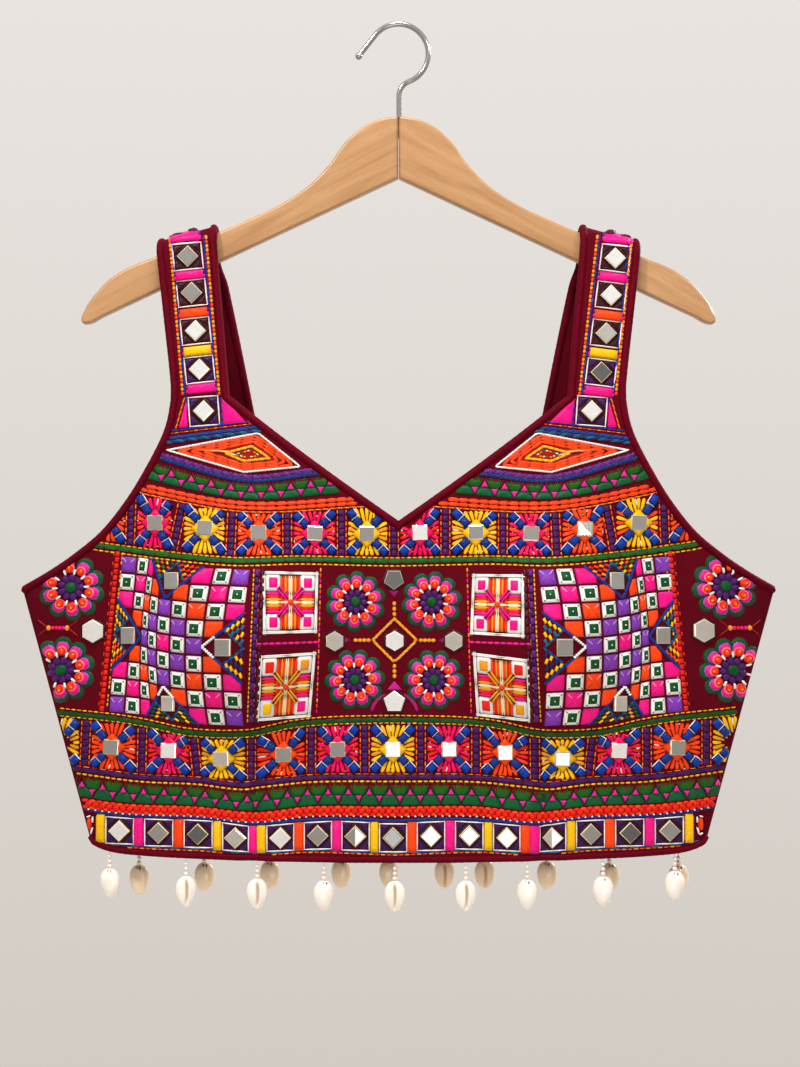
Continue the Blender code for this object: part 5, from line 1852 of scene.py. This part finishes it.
def yoke(work):
    """The left side above the stars, from the strap's foot to the braid."""
    chevron = line_of(((150, 453.0), (164, 457.4), (244.5, 478.6), (310.8, 472.4), (330, 470.0)), YOKE_MIDDLE)
    for drop, colours in ((-1.9, (PURPLE * 0.9, VIOLET * 0.6)), (2.2, (DEEP_BLUE, NAVY * 1.4))):
        twisted(work, trace(chevron, 152, 330, drop), colours, 4.4, 5.0, SATIN)
    lozenge, heart = np.array(LOZENGE), np.array(LOZENGE_HEART)
    work.patch(drawn_in(lozenge, 1.5), 0.02, RED * 0.45, ROW * 0.3, 0, 90, 0.9)
    twisted(work, around(lozenge), (WHITE,), 2.2, 3.6, SATIN, 0.4)
    for share, shade in ((0.19, 1.0), (0.41, 0.9), (0.63, 1.0)):
        colours = (ORANGE * shade, ORANGE * shade * 0.9)
        running(work, around(mix(lozenge, heart, share)), colours, 3.4, 13.0, SATIN * 0.9, -0.02)
    for n in range(5):                              # loose gold threads towards the sharp end
        start = mix(lozenge[0], heart[0], 0.55 + n * 0.1) + [0, -1.6]
        work.stitch(start, heart[0] + [4 + 2 * n, 1.2 * n - 2.4], 1.1, (GOLD, CREAM, RED)[n % 3], ROW, 0.0003)
    twisted(work, around(heart), (YELLOW, GOLD), 3.0, 3.0, SATIN * 1.1, 0.3)
    running(work, around(drawn_in(heart, 3.6)), (CREAM, GREEN, GOLD), 1.4, 3.6, ROW, 0.1)
    blue_line = line_of(((160, 434.0), (175.6, 431.8), (251, 423.0), (262, 422.0)), YOKE_MIDDLE)
    running(work, trace(blue_line, 170, 262, -1.2), (BLUE,), 1.6, 9.0, ROW, 0.03)
    running(work, trace(blue_line, 170, 262, 1.4), (ORANGE, GOLD), 1.0, 5.0, ROW * 0.8, 0.06)
    blue_cord = line_of(((160, 442.4), (171.8, 440.4), (256, 429.8), (268, 428.4)), YOKE_MIDDLE)
    for drop, colours in ((-1.9, (BLUE, DEEP_BLUE * 1.2)), (1.8, (TEAL * 0.7, NAVY))):
        twisted(work, trace(blue_cord, 165, 266, drop), colours, 3.9, 6.4, SATIN * 1.2)
    for drop, shade in ((-2.3, 1.0), (2.3, 0.92)):
        colours = (ORANGE * shade, ORANGE * 0.85)
        running(work, trace(YOKE_BRAID, *YOKE_REACH, drop), colours, 4.2, 10.0, SATIN, -0.03)
    running(work, trace(YOKE_BRAID, *YOKE_REACH), (RED * 0.5, MAROON, RED * 0.7), 1.5, 4.4, SATIN, 0.12)


STRAPS = {
    # x and y of each mirror down the strap, their silver, and the two braids' x at the top and at the foot
    -1: (((188, 257.0), (192, 293.5), (196, 331.5), (200, 370.0)), (DULL, DULL, SILVER, SILVER),
         ((169.8, 183.3), (206.2, 219.8))),
    1: (((615, 259.0), (610.7, 296.0), (605.8, 334.0), (600.8, 373.0)), (SILVER, SILVER, SMOKY, DUSKY),
        ((597.2, 579.0), (631.8, 615.4))),
}
STRAP_BARS = (PINK, PINK, ORANGE, YELLOW, PINK)
STRAP_CORNERS = (DARK_MAROON, DARK_MAROON, DARK_MAROON, DEEP_PURPLE)
STRAP_TOP_Y = 236.0
STRAP_FOOT_Y = 396.0
STRAP_FOOT_CELL = (204.3, 411.5)
STRAP_HALF = 14.4
STRAP_CELL_TALL = 13.0
MIRROR_REACH = 9.8          # half the diagonal of a strap's or the hem's mirror


def strap_work(work, glass, sign):
    """Mirror cells and bars up one strap, between its blue lines and gold braids."""
    centres, silvers, braids = STRAPS[sign]
    cells = np.array(centres)
    run = cells[-1] - cells[0]
    pitch = np.hypot(*run) / (len(cells) - 1)
    along = run / np.hypot(*run)
    side = np.array([along[1], -along[0]])
    lean = -math.degrees(math.atan2(along[0], along[1]))
    for centre, silver, corner_dye in zip(cells, silvers, STRAP_CORNERS):
        corners = [centre + side * a * STRAP_HALF + along * b * STRAP_CELL_TALL for a, b in CORNERS]
        mirror_cell(work, glass, corners, silver, corner_dye)
    for k, colour in enumerate(STRAP_BARS):
        centre = cells[0] + along * pitch * (k - 0.5)
        bar(work, centre, 15.0, 4.8, colour, 90, lean)
        for end in (-1, 1):
            at = centre + side * end * STRAP_HALF
            blocks(work, [at - along * 4, at + along * 4], (PURPLE, MAGENTA), 2.4, 4.0, SATIN, 0.02, 0.0004)
    for (top_x, foot_x), inward in zip(braids, (1, -1)):
        path = np.array([(top_x, STRAP_TOP_Y), (foot_x, STRAP_FOOT_Y)])
        running(work, path, (GOLD, ORANGE, GOLD), 2.7, 4.2, SATIN * 0.8, 0.06)
        running(work, path + [inward * 2.5, 0], (BLUE,), 1.5, 9.0, SATIN * 0.7, 0.0)
    fold = cells[0] - along * 23.6
    for offset, drop in ((-7.2, 1.2), (7.0, 0.6)):  # the next cell's padded ring, over the fold
        ring = oval(fold + side * offset + along * drop, 6.6, 2.4, lean)
        work.pad(ring, MAROON * 0.7, 0.0034, 0.0, 90, 0.5)


def strap_foot(work, glass):
    """The cell under the strap, with blue lines and a pink triangle on each side."""
    x, y = STRAP_FOOT_CELL
    mirror_cell(work, glass, box((x, y), STRAP_HALF + 0.4, STRAP_HALF, -4), SILVER)
    for end in (-1, 1):
        running(work, [(x + end * 17.2, y - 15), (x + end * 18.6, y + 17)], (BLUE,), 1.6, 8.0, ROW, 0.02)
    for corners in (((178.5, 428.5), (187.0, 399), (188.4, 428.0)),
                    ((221.4, 397.5), (226.5, 397), (247, 423.6), (223.5, 425.5))):
        work.patch(corners, 0.05, PINK, SATIN * 0.9, 0, 70, 0.5)
    for path in ([(229, 397), (250, 423)], [(184.6, 399), (176.6, 428)]):
        twisted(work, path, (GOLD, ORANGE), 1.5, 3.4, ROW)


END_LEAF = (
    # dye, width and the two ends of each stroke, from the leaf's middle
    (ORANGE, 4.4, (-1.2, -8.0), (-1.6, 4.5)), (RED, 2.2, (1.0, -6.0), (0.6, 4.0)),
    (WHITE, 1.8, (2.2, -9.0), (2.4, -3.0)), (WHITE, 1.8, (2.4, 1.5), (0.6, 8.5)),
    (WHITE, 1.8, (-3.6, -8.8), (0.0, -9.8)), (WHITE, 1.8, (-3.2, 7.0), (0.4, 9.0)))
LEAF_PLACES = (((92.0, 825.0), (1, 1)), ((698.0, 825.0), (-1, 1)))


def hem_band(work, glass):
    """Mirror cells and bars above the hem, the bead braid and the lines round them."""
    for drop in (-3.4, 3.2):
        beads(work, trace(BRAID_MIDDLE, 70, 722, drop), (RED * 1.1, ORANGE), 4.0, 6.8, SATIN * 0.8)
    beads(work, trace(BRAID_MIDDLE, 73.4, 718.6), (RED, RED * 0.9), 6.4, 6.8, SATIN * 1.35)
    for a, b in spaced(trace(BRAID_MIDDLE, 80, 710, 5.0), 6.8):
        work.pad(oval((a + b) / 2, 1.1, 1.0, sides=8), WHITE, ROW, 0.0003)
    twisted(work, trace(HEM_TOP, 72, 718), (DEEP_BLUE * 1.2, BLUE * 0.8), 3.0, 7.0, SATIN * 0.9)
    bar_xs = np.array([x for x, _ in HEM_BARS])
    for x, silver in HEM_CELLS:
        left, right = bar_xs[bar_xs < x].max(), bar_xs[bar_xs > x].min()
        half = min((right - left) / 2 - 5.2, 14.0)
        x = (right + left) / 2
        top, foot = float(HEM_TOP(x)) + 3.0, float(HEM_FOOT(x)) - 4.9
        rise = float(HEM_TOP(x + 8) - HEM_TOP(x - 8)) / 16 * half
        corners = [(x - half, top - rise), (x + half, top + rise), (x + half, foot + rise * 0.5),
                   (x - half, foot - rise * 0.5)]
        mirror_cell(work, glass, corners, silver)
    for x, colour in HEM_BARS:
        top, foot = float(HEM_TOP(x)) + 1.6, float(HEM_FOOT(x)) - 3.0
        bar(work, (x, (top + foot) / 2), 4.2 if colour is YELLOW else 4.8, (foot - top) / 2, colour, 0)
    for middle, way in LEAF_PLACES:
        for colour, width, *ends in END_LEAF:
            start, end = np.array(ends) * way + middle
            work.strand(start, end, width, colour, SATIN, 0.0003)
    running(work, trace(HEM_FOOT, *HEM_FOOT_REACH, -3.4), (TEAL, DEEP_BLUE * 1.3), 1.7, 10.0, ROW, 0.02)
    running(work, trace(HEM_FOOT, *HEM_FOOT_REACH, -1.6), (GOLD, ORANGE), 1.4, 6.0, ROW * 0.8, 0.1)


PANEL_SIDES = (
    # kind of row, its two ends, dyes, width, pitch, height, gap
    (blocks, (118.6, 551), (102.5, 711), (RED, RED * 0.8), 4.6, 6.0, SATIN, 0.04),
    (running, (123.4, 552), (107.6, 711), (GOLD, GOLD, YELLOW, NAVY), 1.5, 4.4, ROW),
    (running, (114.8, 551), (99.0, 711), (ORANGE, MAROON), 1.0, 5.0, ROW * 0.6),
    (blocks, (257.6, 569), (251.2, 722), (PURPLE * 0.9, DEEP_PURPLE), 4.8, 8.0, SATIN * 0.9, 0.03),
    (blocks, (263.2, 569), (256.0, 724), (DARK_MAROON * 1.5, MAROON), 4.4, 8.0, SATIN * 0.8, 0.05),
    (running, (254.2, 569), (247.6, 722), (GOLD, YELLOW), 1.4, 4.6, ROW),
    (running, (259.8, 569), (253.4, 722), (ORANGE, MAROON, GOLD), 0.9, 5.0, ROW * 0.7),
    (running, (320.6, 567.6), (316.5, 713.5), (GOLD, ORANGE, PINK), 1.6, 5.4, ROW),
    (running, (256, 644), (319, 642), (PINK, MAGENTA, PINK), 2.6, 6.5, SATIN * 0.8, 0.04),
)


def panel_sides(work):
    """Ladders and dashed columns beside a check panel, and the same folded over to the right."""
    for sew_row, start, end, *row in PANEL_SIDES:
        sew_row(work, [start, end], *row)


CROSS_SQUARES = (
    # corners from top left round, dyes of the small squares, dye of the loops
    (((262.4, 571.6), (318.2, 572.7), (316.5, 632.9), (262.9, 634.3)), (PINK, PINK, PINK, PINK), PINK),
    (((259.4, 655.3), (315.5, 651.8), (310.4, 716.5), (256.7, 720.6)), (RED, GOLD, PINK, YELLOW), GOLD),
    (((472.7, 574.3), (524.7, 575.0), (524.7, 637.6), (470.6, 634.3)), (PINK, PINK, PINK, PINK), PINK),
    (((473.3, 652.2), (529.4, 659.0), (530.6, 721.2), (476.7, 715.5)), (GOLD, RED, GOLD, RED), GOLD),
)
CENTRE_FLOWERS = ((355.5, 601.6), (431.8, 601.8), (354.9, 679.4), (433.9, 679.8))
CENTRE_MIRRORS = (
    # middle, sides, reach, turn in degrees, silver
    ((394.0, 579.4), 5, 9.8, 180, DUSKY * 1.3), ((394.4, 701.6), 5, 10.8, 0, SILVER),
    ((334.2, 641.0), 6, 9.4, 0, SMOKY), ((394.8, 640.8), 6, 9.6, 0, SILVER),
    ((454.3, 641.0), 6, 9.4, 0, SMOKY))
CENTRE_RADIUS = 31.2
CENTRE_DIAMOND = ((394.5, 618.6), (417, 640.2), (394.5, 662), (372.7, 640.2))
CENTRE_CORDS = ((394.3, 601), (435.5, 640.4), (394.6, 678.5), (353.5, 640.2))   # where its corners' cords end
SIDE_FLOWERS = ((72.3, 587.5), (62.9, 669.6), (724.4, 586.0), (731.8, 669.8))
SIDE_RADIUS = 34.0


def centre_block(work, glass):
    """Four flowers round a mirror in a gold diamond, with a mirror on each side."""
    for n, centre in enumerate(CENTRE_FLOWERS):
        flower(work, centre, CENTRE_RADIUS, 4 + 5 * n)
    diamond = np.array(CENTRE_DIAMOND)
    twisted(work, around(diamond), (GOLD, GOLD * 1.1), 3.2, 5.0, SATIN * 1.1, 0.25)
    for corner, end in zip(diamond, np.array(CENTRE_CORDS)):
        start = mix(corner, end, 0.10)
        beads(work, [start, end], (GOLD, GOLD * 1.1), 4.2, 4.6, SATIN, 0.0)
        side = beside(start, end, 5.4)
        tip, further = mix(start, end, 1.16), mix(start, end, 1.66)
        work.patch([tip, further + side, further - side], 0.05, MAGENTA * 0.42, SATIN * 0.6, 0, 0, 0.7)
    for centre, sides, reach, turn, silver in CENTRE_MIRRORS:
        set_mirror(work, glass, regular(sides, reach, centre, turn), silver, 2.8, 0.7)
    work.patch([(394.5, 680.5), (402.5, 690), (386.5, 690)], 0.05, MAGENTA * 0.9, SATIN * 0.8, 0, 90, 0.5)
    for side in (-1, 1):
        start, end = (394.5 + side * 9, 694), (394.5 + side * 23, 711)
        work.strand(start, end, 4.2, MAGENTA * 0.62, ROW, 0, petal_form, bow=side * 2.6)


def side_blocks(work, glass):
    """Two flowers, a mirror and a small braid at each side, cut by the armhole and the side seam."""
    for n, centre in enumerate(SIDE_FLOWERS):
        flower(work, centre, SIDE_RADIUS, -3 + 6 * n)
    for centre, silver in (((94.0, 630.7), SILVER), ((702.9, 630.2), SMOKY)):
        set_mirror(work, glass, regular(6, 11.0, centre), silver, 3.0, 0.9)
    for start_x, end_x in ((52.0, 66.0), (731.5, 746.5)):
        y = 627.6
        beads(work, [(start_x, y), (end_x, y)], (PINK, RED, PINK), 4.4, 3.6, SATIN)
        for x, way in ((start_x, -1), (end_x, 1)):
            work.pad(oval((x + way * 2.2, y), 2.3, 2.9, sides=8), GOLD, SATIN * 1.1, 0.0002)
            for rise in (-8, 8):
                work.stitch((x + way * 3, y), (x + way * 13, y + rise), 0.9, RED * 0.7, ROW * 0.7)


SEAM_THREAD = (CRIMSON * 0.30, CRIMSON * 0.24)
SEAM_AWAY = 0.0034          # how far the back's seams are stitched from its edges
STRAP_SEAM = 0.0026         # and those on both sides of the straps' seams
PLACKET_AWAY = 0.0020
TACK_AWAY = 0.0030
TACK_HEIGHTS = (-0.352, -0.395, -0.438, -0.481, -0.521)     # where the placket is tacked down


def charted(points):
    """Chart points of x and z in metres, for the back."""
    x, z = np.asarray(points, float).T
    return np.stack([CHART_X + x / CHART_STEP, CHART_Y - (z - EYE_Z) / CHART_STEP], 1)


def back_seams(work):
    """The rows that hold down the back's bindings, straps, hem and placket."""
    def sewn(x, z, sign=1, out=0.0):
        points = np.stack(np.broadcast_arrays(np.multiply(x, sign), z), 1)
        running(work, charted(points), SEAM_THREAD, 1.1, 4.4, 0.0005, 0.16, out)

    heights = np.linspace(hem_z(HEM_HALF) + SEAM_AWAY, UNDERARM_Z, 40)
    strap_heights = np.linspace(BACK_BASE_Z, FOLD_TOP_Z - 0.020, 40)
    arm_heights = np.linspace(UNDERARM_Z + 0.001, BACK_BASE_Z, 60)
    neck_x, neck_height = back_neck(np.linspace(0, 1, 60))
    neck_x, neck_height = neck_x + SEAM_AWAY * neck_x / neck_x[-1], neck_height - SEAM_AWAY * 1.2
    on_placket = PLACKET_WALL - PLACKET_SUNK
    across = np.linspace(-HEM_HALF + 0.004, HEM_HALF - 0.004, 120)
    strap_xs = [BACK_STRAP_INNER[0][1] + SEAM_AWAY, BACK_STRAP_OUTER[0][1] - SEAM_AWAY]
    sewn(across, hem_z(across) + SEAM_AWAY)
    for _, sign in SIDES:
        sewn(half_width(heights) - SEAM_AWAY, heights, sign)
        sewn(read(BACK_ARMHOLE, arm_heights) - SEAM_AWAY, arm_heights - SEAM_AWAY / 2, sign)
        sewn(read(BACK_STRAP_OUTER, strap_heights) - SEAM_AWAY, strap_heights, sign)
        sewn(read(BACK_STRAP_INNER, strap_heights) + SEAM_AWAY, strap_heights, sign)
        sewn(neck_x[6:], neck_height[6:], sign)
        for rise in (-STRAP_SEAM, STRAP_SEAM):
            sewn(strap_xs, BACK_BASE_Z + rise, sign)
        sewn(PLACKET_HALF - PLACKET_AWAY, [HEM_Z + 0.003, BACK_NECK_Z - 0.003], sign, on_placket)
    reach = PLACKET_HALF - TACK_AWAY
    for height in TACK_HEIGHTS:
        path = charted([(-reach, height), (reach, height)])
        blocks(work, path, (CRIMSON * 0.26,), 2.2, 30.0, 0.0007, 0.0, on_placket)


def make_needlework():
    glass = Work("mirrors", mirror_glass, "mirror", flat=True)

    def stitched(name, sew_all, *rest, behind=False):
        work = Work(name, silk, "embroidery_thread", behind=behind)
        sew_all(work, *rest)
        work.finish()

    def whole_yoke(work):
        def side():
            yoke(work)
            strap_foot(work, glass)

        work.both_sides(YOKE_MIDDLE, side)

    def squares(work):
        work.both_sides(MIDDLE, lambda: panel_sides(work))
        for square in CROSS_SQUARES:
            cross_square(work, *square)

    for word, sign in SIDES:
        stitched(f"strap_stitching_{word}", strap_work, glass, sign)
    stitched("yoke_stitching", whole_yoke)
    stitched("star_bands", star_bands, glass)
    stitched("sawtooth_bands", tooth_bands)
    for word, sign in SIDES:
        stitched(f"check_panel_{word}", check_panel, glass, sign)
    stitched("cross_squares", squares)
    stitched("centre_flowers", centre_block, glass)
    stitched("side_flowers", side_blocks, glass)
    stitched("hem_band", hem_band, glass)
    glass.fold = None
    glass.finish()
    stitched("back_seam_stitches", back_seams, behind=True)


# ---------------------------------------------------------------- stage, light and camera

FLOOR_Z = -1.20
FLOOR_RADIUS = 1.5
ROOM_LIGHT = 0.36           # how strongly the pale room lights the object
GLINT = 1.3                 # and how much stronger it is in mirrors


def make_stage():
    bpy.ops.mesh.primitive_circle_add(vertices=96, radius=FLOOR_RADIUS, fill_type="NGON",
                                      location=(0, 0, FLOOR_Z))
    pale, tree, shader = new_material("pale_floor", 0.9)
    grain = noise(tree, node(tree, **OBJECT), 9.0, 2.0)
    tinted(tree, shader, grain, 0.97, 1.03, dye(222, 214, 204))
    active("floor", pale)
    world = bpy.data.worlds.new("pale_room")
    bpy.context.scene.world = world
    world.use_nodes = True
    tree = world.node_tree
    sky = tree.nodes["Background"]
    height = node(tree, "SeparateXYZ", node(tree, "TexCoord", out="Generated"), out="Z")
    up = node(tree, "MapRange", Value=height, From_Min=-1.0, From_Max=1.0)
    feed(tree, sky.inputs["Color"], two_tone(tree, up, dye(206, 198, 190), dye(238, 234, 230)))
    glint = node(tree, "Math", node(tree, "LightPath", out="Is Glossy Ray"), GLINT, operation="MULTIPLY")
    seen = node(tree, "Math", node(tree, "LightPath", out="Is Camera Ray"), glint, operation="MAXIMUM")
    strength = node(tree, "MapRange", Value=seen, To_Min=ROOM_LIGHT, To_Max=1.0, clamp=False)
    feed(tree, sky.inputs["Strength"], strength)


LIGHTS = (
    # name, place, size, watts
    ("key_left", (-1.0, -1.5, 1.2), 0.3, 29),
    ("key_right", (1.2, -1.6, 0.9), 0.4, 12),
    ("from_above", (0.0, -0.75, 1.3), 0.4, 21),
    ("behind", (1.6, 0.9, 0.7), 0.5, 34),
    ("low_front", (0.2, -1.4, -0.95), 0.8, 4.0),
)
LOOK_AT = Vector((0, 0, -0.33))


def make_lights():
    for name, place, size, watts in LIGHTS:
        lamp = bpy.data.lights.new(name, "AREA")
        lamp.shape = "DISK"
        lamp.size = size
        lamp.energy = watts
        thing = bpy.data.objects.new(name, lamp)
        thing.location = place
        thing.rotation_euler = (LOOK_AT - Vector(place)).to_track_quat("-Z", "Y").to_euler()
        bpy.context.scene.collection.objects.link(thing)


CAMERA_X = 0.00097
CAMERA_SENSOR = 36          # millimetres, the frame's long side
CAMERA_LENS = 59.57


def make_camera():
    lens = bpy.data.cameras.new("camera")
    lens.sensor_width = CAMERA_SENSOR
    lens.lens = CAMERA_LENS
    camera = bpy.data.objects.new("camera", lens)
    camera.location = (CAMERA_X, -EYE_DISTANCE, EYE_Z - CHART_STEP / 2)
    camera.rotation_euler = (math.pi / 2, 0, 0)
    bpy.context.scene.collection.objects.link(camera)
    bpy.context.scene.camera = camera
    bpy.context.scene.view_settings.view_transform = "Standard"


make_cloth()
make_bindings()
make_hanger()
make_needlework()
make_drops()
make_stage()
make_lights()
make_camera()
